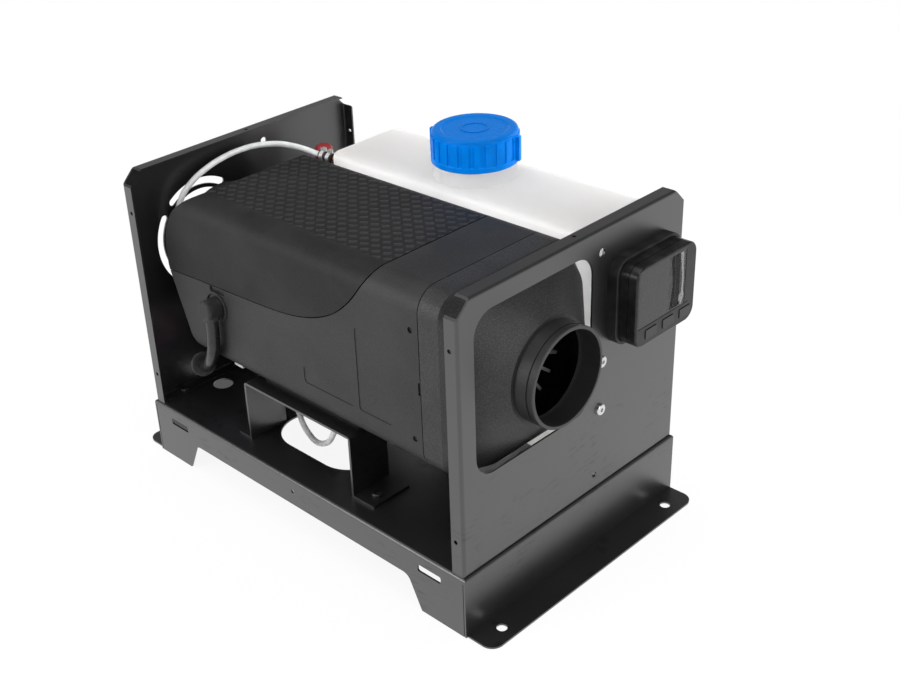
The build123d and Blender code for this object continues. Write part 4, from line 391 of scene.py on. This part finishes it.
def top_cover_relief():
    """Leather grain with raised, staggered dashes on the flat of the top; the dashes carry a
    painted highlight and the flat between them painted shade.
    """
    look = bpy.context.scene.heater_colours
    sizes = bpy.context.scene.heater_sizes
    f = Finish("top_cover_relief")
    x, y = f.along("xy")
    cos, sin = math.cos(RELIEF_TURN), math.sin(RELIEF_TURN)
    along = (x * cos + y * sin) / sizes.scale_width
    away = (y * cos - x * sin) / sizes.scale_depth
    column = along.whole()
    across = along.part()
    step = (away + column * 0.5 + across * 0.12).part()
    dash = across.between(0.04, 0.92, 0.12) * step.between(0.06, 0.62, 0.16)
    slope = dash * (0.55 + step * 0.8)
    flat = f.facing_up().over(0.985, 0.998) * y.over(RELIEF_FRONT, RELIEF_FRONT + 3 * MM)
    flat = flat * x.over(RELIEF_INLET, RELIEF_INLET + 6 * MM)
    relief = slope * flat
    cells = f.cells(sizes.leather)
    wander = f.noise(sizes.leather * WANDER, 3.0)
    clouds = f.noise(45 * MM, 3.0)
    base = look.casing
    tone = f.drift(clouds, base, 0.86, 0.006)
    tone = f.mix(cells.under(0.05, 0.5) * 0.25, tone, lighter(base, 0.03))
    # the raised dashes are painted lighter up their slope: a painted highlight
    tone = f.mix(relief * 0.6, tone, lighter(base, 0.024))
    # the flat between the dashes is painted darker: painted shade in the grooves
    tone = f.mix((1 - dash) * flat * 0.4, tone, darker(base, 0.5))
    grain = f.bump(cells * 0.7 + wander * 0.6, 0.1 * MM, 0.8)
    normal = f.bump(relief, 0.72 * MM, 1.0, grain)
    rough = 0.50 + clouds * 0.08 - relief * 0.12
    return f.surface(tone, rough, normal, Specular_IOR_Level=0.20)


def hood_grain():
    """Coarse sparkling grain on the hood, its glints painted lighter; the collar is smoother and
    painted darker as shade, with a painted highlight on its rim.
    """
    look = bpy.context.scene.heater_colours
    sizes = bpy.context.scene.heater_sizes
    f = Finish("hood_coarse_grain")
    x, = f.along("x")
    collar = x.over(COLLAR_ROOT, COLLAR_ROOT + 3 * MM)
    coarse = f.cells(sizes.sparkle)
    fine = f.cells(0.8 * MM)
    wander = f.noise(3.0 * MM, 3.0)
    height = (coarse * 0.8 + wander * 0.5) * (1 - collar * 0.75) + fine * 0.15
    base = look.hood
    clouds = f.noise(35 * MM, 3.0)
    tone = f.drift(clouds, base, 0.85, 0.006)
    # lighter cells: painted glints of the sparkling grain
    tone = f.mix(coarse.under(0.05, 0.5) * 0.45 * (1 - collar), tone, lighter(base, 0.060))
    # the collar is painted darker: painted shade
    tone = f.mix(collar * 0.7, tone, darker(base, 0.4))
    rim = x.over(COLLAR_RIM, COLLAR_RIM + 1.2 * MM)
    # the rim is painted lighter: a painted highlight along the collar's rim
    tone = f.mix(rim * 0.25, tone, lighter(base, 0.07))
    rough = 0.44 + coarse * 0.14 - collar * 0.04 + clouds * 0.05
    return f.surface(tone, rough, f.bump(height, 0.16 * MM, 1.0), Specular_IOR_Level=0.48)


def moulded(name, base, roughness, width=1.4 * MM, depth=0.03 * MM, spread=0.12, **constants):
    """Plain moulded plastic: slight colour drift, fine grain and faint flow marks."""
    f = Finish(name)
    clouds = f.noise(18 * MM, 3.0)
    flow = f.noise(6 * MM, 2.0, 0.5, f.stretched(1.0, 1.0, 0.25))
    grain = f.noise(width, 3.0)
    tone = f.drift(clouds, base, 1 - spread, spread * 0.12)
    rough = roughness + clouds * 0.05 + flow * 0.05
    height = grain * 0.7 + flow * 0.3
    return f.surface(tone, rough, f.bump(height, depth, 0.7), **constants)


def rubber(name):
    """Black moulded rubber with a little dust."""
    look = bpy.context.scene.heater_colours
    f = Finish(name)
    dust = f.noise(9 * MM, 4.0, 0.65)
    grain = f.noise(0.5 * MM, 3.0)
    tone = f.mix(dust.over(0.45, 0.75), look.rubber, lighter(look.rubber, 0.03))
    return f.surface(tone, 0.55 + dust * 0.2, f.bump(grain, 0.03 * MM, 0.8))


def milky_plastic():
    """Blow moulded tank: translucent white with soft clouds, a faint parting line and ripples."""
    look = bpy.context.scene.heater_colours
    f = Finish("tank_milky_plastic")
    y, z = f.along("yz")
    low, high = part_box("fuel_tank")
    middle = (low.y + high.y) / 2
    clouds = f.noise(70 * MM, 4.0)
    ripple = f.noise(16 * MM, 2.0, 0.5, f.stretched(0.5, 1.0, 1.0))
    pores = f.noise(0.9 * MM, 2.0)
    seam = (y - middle).size().under(SEAM_HALF, 0.9 * MM)
    # greyer towards the top: the upper part of the tank is mixed toward a slightly darker grey
    towards_top = z.over(60 * MM, 250 * MM)
    tone = f.mix(clouds.over(0.25, 0.75), darker(look.tank, 0.98), lighter(look.tank, 0.02))
    tone = f.mix(towards_top * 0.12, tone, (0.91, 0.91, 0.90))
    height = ripple * 0.9 + seam * 0.5 + pores * 0.06
    rough = 0.40 + clouds * 0.08 + pores * 0.05
    normal = f.bump(height, 0.16 * MM, 0.8)
    return f.seen_through(look.clearness, look.tank, tone, rough, normal)


def cap_plastic():
    """Moulded blue with faint turned rings on the top and slight scuffs; the top is painted darker
    as shade.
    """
    look = bpy.context.scene.heater_colours
    f = Finish("cap_blue_plastic")
    x, y, z = f.along("xyz")
    low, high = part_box("cap_liner")
    dx = x - (low.x + high.x) / 2
    dy = y - (low.y + high.y) / 2
    radius = (dx * dx + dy * dy).root()
    top = z.over(CAP_ROOF, CAP_ROOF + 1.5 * MM)
    rings = (radius / (1.3 * MM)).part().between(0.1, 0.9, 0.35) * top
    clouds = f.noise(14 * MM, 3.0)
    scuffs = f.noise(1.0, 4.0, 0.7, f.stretched(700.0, 60.0, 300.0)).over(0.62, 0.76)
    tone = f.mix(clouds.over(0.3, 0.7), darker(look.cap, 0.92), darker(look.cap, 1.06))
    # the top of the cap is painted darker than its sides: painted shade
    tone = f.mix(top, tone, darker(look.cap, 0.66))
    tone = f.mix(scuffs * 0.20, tone, (0.03, 0.30, 0.85))
    height = rings * 0.25 + f.noise(2.6 * MM, 3.0) * 0.35
    rough = 0.24 + clouds * 0.08 + scuffs * 0.12
    return f.surface(tone, rough, f.bump(height, 0.09 * MM, 0.7), Specular_IOR_Level=0.06)


def foam():
    """Open foam of the cap's liner."""
    f = Finish("liner_foam")
    pores = f.cells(0.9 * MM)
    tone = f.mix(pores.under(0.1, 0.5), (0.74, 0.74, 0.71), (0.55, 0.55, 0.52))
    return f.surface(tone, 0.85, f.bump(pores, 0.15 * MM, 0.8))


def metal(name, base, roughness, drawn=(1.0, 1.0, 1.0), stain=0.2, depth=0.015 * MM):
    """Bare metal with fine tool marks drawn out one way, and cloudy stains."""
    f = Finish(name)
    marks = f.noise(0.5 * MM, 3.0, 0.6, f.stretched(*drawn))
    clouds = f.noise(8 * MM, 4.0, 0.6)
    tone = f.mix(clouds.over(0.35, 0.75) * stain, base, darker(base, 0.45))
    tone = f.mix(marks.over(0.4, 0.7) * 0.3, tone, lighter(base, 0.18))
    rough = roughness + clouds * 0.1 + marks * 0.08
    return f.surface(tone, rough, f.bump(marks, depth, 0.8), Metallic=1.0)


def cast_metal():
    """Die cast alloy: fine pits, flow clouds and a slight sheen."""
    f = Finish("cast_alloy")
    pits = f.cells(1.6 * MM)
    clouds = f.noise(12 * MM, 4.0, 0.65)
    tone = f.mix(clouds.over(0.3, 0.7), (0.50, 0.50, 0.51), (0.66, 0.66, 0.67))
    tone = f.mix(pits.under(0.03, 0.14), tone, (0.2, 0.2, 0.2))
    height = f.noise(0.9 * MM, 3.0) * 0.7 + pits.over(0.05, 0.3) * 0.5
    return f.surface(tone, 0.38 + clouds * 0.18, f.bump(height, 0.06 * MM, 0.9), Metallic=0.45)


def heat_tinted():
    """Stainless sheet that has been hot: straw and blue bands along the burner."""
    f = Finish("burner_heat_tint")
    x, = f.along("x")
    wander = f.noise(14 * MM, 4.0)
    heat = (x * 9.0 + wander * 0.5 + 0.2).part()
    stops = ((0.0, (0.46, 0.44, 0.42)), (0.35, (0.50, 0.38, 0.22)), (0.55, (0.30, 0.20, 0.26)),
             (0.75, (0.20, 0.26, 0.40)), (1.0, (0.44, 0.43, 0.42)))
    tone = f.node("ShaderNodeValToRGB", {"stops": stops}, [heat], "Color")
    soot = f.noise(6 * MM, 4.0, 0.7).over(0.5, 0.8)
    tone = f.mix(soot * 0.5, tone, (0.06, 0.055, 0.05))
    grain = f.noise(0.5 * MM, 3.0, 0.6, f.stretched(0.1, 1.0, 1.0))
    return f.surface(tone, 0.34 + soot * 0.3, f.bump(grain, 0.02 * MM, 0.8), Metallic=1.0)


def nylon_tube():
    """Pale, slightly clear nylon with faint clouds."""
    look = bpy.context.scene.heater_colours
    f = Finish("fuel_tube_nylon")
    clouds = f.noise(7 * MM, 3.0)
    fine = f.noise(0.9 * MM, 2.0)
    tone = f.drift(clouds, look.tube, 0.86, 0.2)
    rough = 0.26 + clouds * 0.08
    return f.surface(tone, rough, f.bump(fine, 0.02 * MM, 0.6), Coat_Weight=0.3,
                     Transmission_Weight=0.15)


def fibre():
    """Pressed dark fibre of the gasket."""
    f = Finish("gasket_fibre")
    strands = f.noise(1.2 * MM, 5.0, 0.75, f.stretched(1.0, 3.0, 1.0))
    tone = f.mix(strands, (0.05, 0.05, 0.055), (0.2, 0.2, 0.21))
    return f.surface(tone, 0.9, f.bump(strands, 0.12 * MM, 0.9))


def solder_mask():
    """Green board with lines under the mask and pale pads on top."""
    look = bpy.context.scene.heater_colours
    f = Finish("circuit_board_mask")
    x, y = f.along("xy")
    lines = ((x + y * 0.35) / (3.2 * MM)).part().between(0.2, 0.5, 0.08)
    patches = f.cells(9 * MM).over(0.3, 0.34)
    tone = f.mix(lines * patches, look.board, lighter(look.board, 0.12))
    pads = f.cells(4.5 * MM).under(0.10, 0.14)
    tone = f.mix(pads, tone, (0.62, 0.6, 0.52))
    return f.surface(tone, 0.34 + lines * 0.1, f.bump(lines + pads, 0.04 * MM, 0.8))


def conduit_skin():
    """Glossy black conduit with a worn, slightly chalky skin."""
    f = Finish("conduit_skin")
    fine = f.noise(0.7 * MM, 3.0)
    chalk = f.noise(6 * MM, 4.0, 0.7)
    tone = f.mix(chalk.over(0.4, 0.75), (0.006, 0.006, 0.0065), (0.022, 0.022, 0.023))
    return f.surface(tone, 0.19 + chalk * 0.2, f.bump(fine, 0.03 * MM, 0.7))


def glossy_shell():
    """Controller shell: polished black with finger smears and fine scratches."""
    look = bpy.context.scene.heater_colours
    f = Finish("controller_gloss_black")
    smear = f.noise(9 * MM, 4.0, 0.65)
    scratch = f.noise(1.0, 3.0, 0.7, f.stretched(400.0, 90.0, 900.0)).over(0.64, 0.74)
    tone = f.mix(smear.over(0.4, 0.7), look.case, lighter(look.case, 0.008))
    tone = f.mix(scratch * 0.2, tone, (0.08, 0.08, 0.08))
    rough = 0.22 + smear * 0.16 + scratch * 0.15
    return f.surface(tone, rough, f.bump(f.noise(2.5 * MM, 2.0), 0.02 * MM, 0.5),
                     Specular_IOR_Level=0.34)


def screen_window():
    """Clear window over a dark display."""
    f = Finish("screen_window")
    smear = f.noise(11 * MM, 4.0, 0.6)
    inner = f.within(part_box("controller_screen"), WINDOW_LIP, 0.3 * MM)
    tone = f.mix(smear.over(0.35, 0.7), (0.022, 0.0222, 0.023), (0.028, 0.0283, 0.029))
    tone = f.mix(inner * 0.6, tone, (0.029, 0.0295, 0.031))
    rough = 0.20 + smear * 0.14
    return f.surface(tone, rough, f.bump(smear, 0.02 * MM, 0.3), Specular_IOR_Level=0.34)


def key_face():
    """Rubbery keys with painted shade as a thin dark outline in the gap round each."""
    f = Finish("key_satin_black")
    face = sum(f.within(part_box(name), KEY_LIP, 0.25 * MM) for name in KEYS)
    grain = f.noise(0.5 * MM, 3.0)
    # the lip round each key is painted dark: painted shade in the gap
    tone = f.mix(face, (0.004, 0.004, 0.004), (0.024, 0.024, 0.026))
    return f.surface(tone, 0.34 + grain * 0.1, f.bump(grain, 0.02 * MM, 0.6),
                     Specular_IOR_Level=0.36)


def wavy(z, middle, swing, pace, start):
    """A line that wanders from side to side with height; z is a number or a signal."""
    phase = z / pace + start
    wave = phase.wave() if isinstance(z, Signal) else math.sin(phase)
    return middle + wave * swing


def fold_line(z):
    """Where the film's crease runs at a height."""
    return wavy(z, CREASE, 1.1 * MM, 6.5 * MM, 0.4)


def ribbon_line(z):
    """Where the film's loose edge stands up at a height."""
    return wavy(z, LOOSE_EDGE, 0.9 * MM, 8.5 * MM, 2.2)


def clear_film():
    """Thin clear film: dull over the display beside its crease, with painted shade along the crease
    and a painted highlight where its edge lifts.
    """
    f = Finish("screen_film")
    y, z = f.along("yz")
    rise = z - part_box("controller_screen")[0].z
    aside = y - fold_line(z)
    dull = aside.over(-3.0 * MM, -2.2 * MM) * y.under(DULL_END, DULL_END + 1.5 * MM)
    crease = aside.size().under(0.25 * MM, 0.75 * MM)
    foot = rise.between(3.0 * MM, 12.0 * MM, 3.0 * MM)
    head = rise.over(30.0 * MM, 42.0 * MM)
    half = 1.3 * MM + foot * 1.9 * MM + head * 0.8 * MM
    ribbon = ((y - ribbon_line(z)).size() / half).under(0.75, 1.1)
    ribbon = ribbon * rise.over(0.5 * MM, 2.0 * MM)
    streak = f.noise(1.0, 3.0, 0.6, f.stretched(1.0, 700.0, 45.0))
    # pale ribbon where the edge lifts: a painted highlight
    tone = f.mix(ribbon, (0.003, 0.003, 0.003), (0.52, 0.53, 0.54))
    # the crease gets more of the film's black: painted shade along the crease
    alpha = 0.03 + dull * (0.30 + streak * 0.12) + crease * 0.25
    alpha = alpha * (1 - ribbon) + ribbon * (0.13 + streak * 0.16)
    return f.surface(tone, 0.30, None, Alpha=alpha, Specular_IOR_Level=0.2)


# ---------------------------------------------------------------- putting finishes on

def dress(material, *names):
    """Gives CAD nodes a finish through their material slots."""
    for name in names:
        slots = NODES[name].material_slots
        if not slots:
            raise RuntimeError(f"{name} has no material slot")
        for place in slots:
            place.material = material


def new_piece(name, mesh, body, material):
    """Makes an object at the origin from a bmesh, to ride on a body."""
    data = bpy.data.meshes.new(name)
    mesh.to_mesh(data)
    mesh.free()
    made = bpy.data.objects.new(name, data)
    bpy.context.scene.collection.objects.link(made)
    data.materials.append(material)
    for face in data.polygons:
        face.use_smooth = True
    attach(made, body)


class HEATER_OT_frame(bpy.types.Operator):
    """Paint on the tray, the end plates, the brackets of heater and tank and the pump cradle"""

    bl_idname = "heater.frame"
    bl_label = "Frame paint"

    def execute(self, context):
        dress(powder_coat(), "base_tray", "outlet_plate", "inlet_plate", "heater_bracket",
              "tank_clamp", "tank_stop", "pump_cradle")
        return {"FINISHED"}


class HEATER_OT_casing(bpy.types.Operator):
    """Grain on the casing, the top cover and the inlet ring"""

    bl_idname = "heater.casing"
    bl_label = "Casing"

    def execute(self, context):
        dress(casing_grain(), "lower_casing", "inlet_ring")
        dress(top_cover_relief(), "upper_cover")
        return {"FINISHED"}


class HEATER_OT_hood(bpy.types.Operator):
    """Coarse grain on the outlet hood and its collar"""

    bl_idname = "heater.hood"
    bl_label = "Outlet hood"

    def execute(self, context):
        dress(hood_grain(), "outlet_hood")
        return {"FINISHED"}


class HEATER_OT_burner(bpy.types.Operator):
    """Castings, burner, fan, motor and board inside the casing, and what hangs under it"""

    bl_idname = "heater.burner"
    bl_label = "Burner parts"

    def execute(self, context):
        colours = context.scene.heater_colours
        dress(cast_metal(), "heat_exchanger", "blower_housing", "burner_head",
              "combustion_wheel")
        dress(heat_tinted(), "burner_tube", "glow_plug", "exhaust_stub")
        dress(moulded("fan_black_plastic", darker(colours.casing, 0.9), 0.45), "heating_fan",
              "intake_stub")
        dress(metal("motor_zinc", (0.58, 0.58, 0.60), 0.3, (0.08, 1.0, 1.0)), "fan_motor")
        dress(metal("shaft_ground_steel", (0.56, 0.56, 0.58), 0.2, (8.0, 1.0, 1.0)),
              "motor_shaft", "fuel_inlet", "pump_plunger")
        dress(metal("sensor_brass", (0.72, 0.50, 0.26), 0.3), "overheat_sensor")
        dress(solder_mask(), "control_board", "controller_board")
        dress(fibre(), "mounting_gasket")
        return {"FINISHED"}


class HEATER_OT_fixings(bpy.types.Operator):
    """Screws, studs and nuts"""

    bl_idname = "heater.fixings"
    bl_label = "Fixings"

    def execute(self, context):
        dress(metal("screw_black_steel", (0.05, 0.05, 0.055), 0.34, (1.0, 1.0, 1.0), 0.3),
              "plate_screws", "bracket_screws", "stop_screws", "holder_screws",
              "cradle_screws")
        dress(metal("screw_zinc_plate", (0.70, 0.70, 0.70), 0.24, (1.0, 0.3, 1.0), 0.25),
              "clamp_screws", "mount_studs", "mount_nuts")
        dress(metal("clip_bright_steel", (0.92, 0.92, 0.91), 0.40, (1.0, 1.0, 0.4), 0.1),
              "hose_clips")
        return {"FINISHED"}


class HEATER_OT_tank(bpy.types.Operator):
    """Tank, its cap with the liner, and its metal outlet"""

    bl_idname = "heater.tank"
    bl_label = "Fuel tank"

    def execute(self, context):
        dress(milky_plastic(), "fuel_tank")
        dress(cap_plastic(), "tank_cap")
        dress(foam(), "cap_liner")
        dress(metal("outlet_copper", (0.76, 0.42, 0.26), 0.26, (6.0, 1.0, 1.0)), "tank_outlet")
        return {"FINISHED"}


class HEATER_OT_pump(bpy.types.Operator):
    """Fuel pump, its cap and holder, the tubes and their joiners"""

    bl_idname = "heater.pump"
    bl_label = "Pump and tubes"

    def execute(self, context):
        colours = context.scene.heater_colours
        dress(metal("pump_turned_alloy", (0.68, 0.68, 0.69), 0.28, (1.0, 1.0, 12.0)),
              "fuel_pump")
        dress(moulded("pump_red_cap", colours.pump_cap, 0.3), "pump_cap")
        dress(nylon_tube(), "suction_tube", "delivery_tube")
        dress(rubber("hose_black_rubber"), "pump_holder", "hose_joiners")
        return {"FINISHED"}


class HEATER_OT_wiring(bpy.types.Operator):
    """Grommet, conduit, wires and their plug"""

    bl_idname = "heater.wiring"
    bl_label = "Wiring"

    def execute(self, context):
        colours = context.scene.heater_colours
        dress(rubber("grommet_rubber"), "wire_grommet", "conduit_ferrule")
        dress(conduit_skin(), "conduit")
        dress(moulded("wire_red_insulation", colours.red, 0.34, 0.6 * MM), "wire_red")
        dress(moulded("wire_blue_insulation", colours.blue, 0.34, 0.6 * MM), "wire_blue")
        dress(moulded("plug_white_nylon", (0.76, 0.74, 0.70), 0.4, 0.8 * MM), "wire_connector")
        return {"FINISHED"}


class HEATER_OT_controller(bpy.types.Operator):
    """Controller shell, screen and keys, with the clear film and the dark seam on the screen"""

    bl_idname = "heater.controller"
    bl_label = "Controller"

    def execute(self, context):
        colours = context.scene.heater_colours
        dress(glossy_shell(), "controller_case")
        dress(moulded("holder_black_plastic", darker(colours.casing, 0.5), 0.46, 0.9 * MM,
                      Specular_IOR_Level=0.34), "controller_holder", "controller_back")
        dress(screen_window(), "controller_screen")
        dress(key_face(), *KEYS)
        self.film(context.scene.heater_sizes)
        self.seam(moulded("screen_seam_black", (0.0015, 0.0015, 0.0015), 0.8,
                          Specular_IOR_Level=0.05))
        return {"FINISHED"}

    def seam(self, material):
        """Dark line along the foot and the right edge of the screen's window."""
        low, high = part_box("controller_screen")
        half = 0.34 * MM
        proud = 0.05 * MM
        foot = (low.y, high.y + 5.0 * MM, low.z - half, low.z + half)
        edge = (high.y - half, high.y + half, low.z + half + proud, high.z - 1.5 * MM)
        mesh = bmesh.new()
        for y0, y1, z0, z1 in (foot, edge):
            made = bmesh.ops.create_cube(mesh, size=1.0)["verts"]
            bmesh.ops.scale(mesh, vec=(2 * proud, y1 - y0, z1 - z0), verts=made)
            bmesh.ops.translate(mesh, vec=(high.x, (y0 + y1) / 2, (z0 + z1) / 2), verts=made)
        new_piece("screen_seam", mesh, "frame", material)

    def film(self, sizes):
        """A strip of clear film, stuck down at the left and creased at the right."""
        low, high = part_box("controller_screen")
        inset = 1.6 * MM
        y0, y1 = high.y - 20 * MM, high.y - 1.2 * MM
        z0, z1 = low.z + inset, high.z - inset
        steps = sizes.film_steps
        mesh = bmesh.new()
        bmesh.ops.create_grid(mesh, x_segments=steps // 2, y_segments=steps, size=0.5)
        bmesh.ops.scale(mesh, vec=(y1 - y0, z1 - z0, 1.0), verts=mesh.verts)
        quarter = math.radians(90)
        upright = Matrix.Rotation(quarter, 4, "Z") @ Matrix.Rotation(quarter, 4, "X")
        bmesh.ops.transform(mesh, matrix=upright, verts=mesh.verts)
        bmesh.ops.translate(mesh, vec=(high.x, (y0 + y1) / 2, (z0 + z1) / 2), verts=mesh.verts)
        for point in mesh.verts:
            crease = (point.co.y - fold_line(point.co.z)) / (0.7 * MM)
            edge = (point.co.y - ribbon_line(point.co.z)) / (1.8 * MM)
            fold = 0.4 * math.exp(-crease * crease) + 0.8 * math.exp(-edge * edge)
            point.co.x += 0.06 * MM + sizes.film_lift * fold
        bmesh.ops.recalc_face_normals(mesh, faces=mesh.faces)
        bmesh.ops.solidify(mesh, geom=list(mesh.faces), thickness=0.03 * MM)
        bmesh.ops.recalc_face_normals(mesh, faces=mesh.faces)
        # the rim comes in no fixed order, so the faces are sorted by height, then across
        order = Vector((0.1, 1.0, 37.0))
        mesh.faces.sort(key=lambda face: face.calc_center_median().dot(order))
        new_piece("screen_film", mesh, "frame", clear_film())


# name, width, place and aim of each lamp; its power is the stage's value of that name
LAMPS = (("key", 1.6, (-0.15, -0.35, 1.75), (0.0, 0.0, 0.12)),
         ("fill", 1.3, (1.7, -0.2, 0.85), (0.1, 0.0, 0.15)),
         ("front", 1.2, (-0.7, -1.6, 0.75), (0.0, 0.0, 0.15)),
         ("back", 1.4, (0.45, 1.5, 0.40), (0.0, 0.1, 0.15)))


class HEATER_OT_stage(bpy.types.Operator):
    """Pale floor, soft lamps, plain surroundings and the camera"""

    bl_idname = "heater.stage"
    bl_label = "Studio"

    def execute(self, context):
        stage = context.scene.heater_stage
        self.floor(stage)
        self.surroundings(context.scene, stage)
        for name, width, place, target in LAMPS:
            self.lamp(name, getattr(stage, name), width, place, target)
        self.camera(context.scene, stage)
        context.scene.view_settings.view_transform = "Standard"
        return {"FINISHED"}

    def floor(self, stage):
        """Pale floor that reads as white from afar and keeps the heater's shadow near it."""
        f = Finish("floor_white")
        x, y = f.along("xy")
        radius = (x * x + y * y).root()
        bare = f.node("ShaderNodeBsdfDiffuse", {}, {"Color": (0.86, 0.86, 0.86, 1.0)}, "BSDF")
        glow = f.node("ShaderNodeEmission", {}, {"Color": WHITE, "Strength": 1.0}, "Emission")
        seen = f.ray("Is Camera Ray") + f.ray("Is Glossy Ray") + f.ray("Is Transmission Ray")
        near = 0.90 + radius.over(0.40, 0.85) * 0.10
        f.out(f.node("ShaderNodeMixShader", {}, [seen.over(0.0, 1.0) * near, bare, glow]))
        mesh = bmesh.new()
        bmesh.ops.create_grid(mesh, x_segments=2, y_segments=2, size=stage.floor / 2)
        data = bpy.data.meshes.new("floor")
        mesh.to_mesh(data)
        mesh.free()
        data.materials.append(f.material)
        made = bpy.data.objects.new("floor", data)
        bpy.context.scene.collection.objects.link(made)

    def surroundings(self, scene, stage):
        """White where seen and along the horizon in reflections, dimmer overhead."""
        scene.world = bpy.data.worlds.new("surroundings")
        w = Surroundings(scene.world)
        heading = w.node("ShaderNodeTexCoord", {}, {}, "Generated")
        rise = w.node("ShaderNodeSeparateXYZ", {}, [heading], "Z")
        plain, white, dim = [
            w.node("ShaderNodeBackground", {}, {"Color": WHITE, "Strength": strength}, "Background")
            for strength in (stage.sky, 1.0, stage.ceiling)]
        glossy = w.ray("Is Glossy Ray")
        seen = w.ray("Is Camera Ray") + w.ray("Is Transmission Ray") + glossy
        above = glossy * rise.over(stage.horizon, stage.horizon + 0.25)
        both = w.node("ShaderNodeMixShader", {}, [seen.over(0.0, 1.0), plain, white])
        w.out(w.node("ShaderNodeMixShader", {}, [above, both, dim]), "ShaderNodeOutputWorld")

    def lamp(self, name, power, width, place, target):
        """A round soft lamp; the one behind the tank isn't mirrored in the black plastic."""
        light = bpy.data.lights.new(name + "_lamp", "AREA")
        light.shape = "DISK"
        light.size = width
        light.energy = power
        made = bpy.data.objects.new(name + "_lamp", light)
        made.visible_glossy = name != "back"
        bpy.context.scene.collection.objects.link(made)
        made.location = place
        aim = Vector(target) - Vector(place)
        made.rotation_euler = aim.to_track_quat("-Z", "Y").to_euler()

    def camera(self, scene, stage):
        """The camera, fitted to the photograph."""
        data = bpy.data.cameras.new("camera")
        data.lens = stage.lens
        data.sensor_width = 36.0
        data.shift_x, data.shift_y = stage.shift
        data.clip_start = 0.05
        data.clip_end = 50.0
        made = bpy.data.objects.new("camera", data)
        scene.collection.objects.link(made)
        upright = Matrix.Rotation(stage.azimuth, 4, "Z") \
            @ Matrix.Rotation(math.pi / 2 - stage.elevation, 4, "X")
        turned = upright @ Matrix.Rotation(stage.roll, 4, "Z")
        made.matrix_world = Matrix.Translation(Vector(stage.place)) @ turned
        scene.camera = made


class HEATER_PT_sidebar(bpy.types.Panel):
    """Lists the heater's pieces, colours and sizes in the sidebar"""

    bl_idname = "HEATER_PT_sidebar"
    bl_label = "Diesel air heater"
    bl_space_type = "VIEW_3D"
    bl_region_type = "UI"
    bl_category = "Heater"

    def draw(self, context):
        layout = self.layout
        for step in STEPS:
            layout.operator(step.bl_idname)
        for group in ("heater_colours", "heater_sizes", "heater_stage"):
            box = layout.box()
            values = getattr(context.scene, group)
            for name in values.__annotations__:
                box.prop(values, name)


GROUPS = (("heater_colours", HeaterColours), ("heater_sizes", HeaterSizes),
          ("heater_stage", HeaterStage))
STEPS = (HEATER_OT_stage, HEATER_OT_frame, HEATER_OT_casing, HEATER_OT_hood,
         HEATER_OT_burner, HEATER_OT_fixings, HEATER_OT_tank, HEATER_OT_pump,
         HEATER_OT_wiring, HEATER_OT_controller)


def register():
    for name, group in GROUPS:
        bpy.utils.register_class(group)
        setattr(bpy.types.Scene, name, PointerProperty(type=group))
    for step in STEPS:
        bpy.utils.register_class(step)
    bpy.utils.register_class(HEATER_PT_sidebar)


def unregister():
    bpy.utils.unregister_class(HEATER_PT_sidebar)
    for step in reversed(STEPS):
        bpy.utils.unregister_class(step)
    for name, group in reversed(GROUPS):
        delattr(bpy.types.Scene, name)
        bpy.utils.unregister_class(group)


def main():
    register()
    bpy.ops.heater.stage()
    bpy.ops.heater.frame()
    bpy.ops.heater.casing()
    bpy.ops.heater.hood()
    bpy.ops.heater.burner()
    bpy.ops.heater.fixings()
    bpy.ops.heater.tank()
    bpy.ops.heater.pump()
    bpy.ops.heater.wiring()
    bpy.ops.heater.controller()


if __name__ == "__main__":
    main()
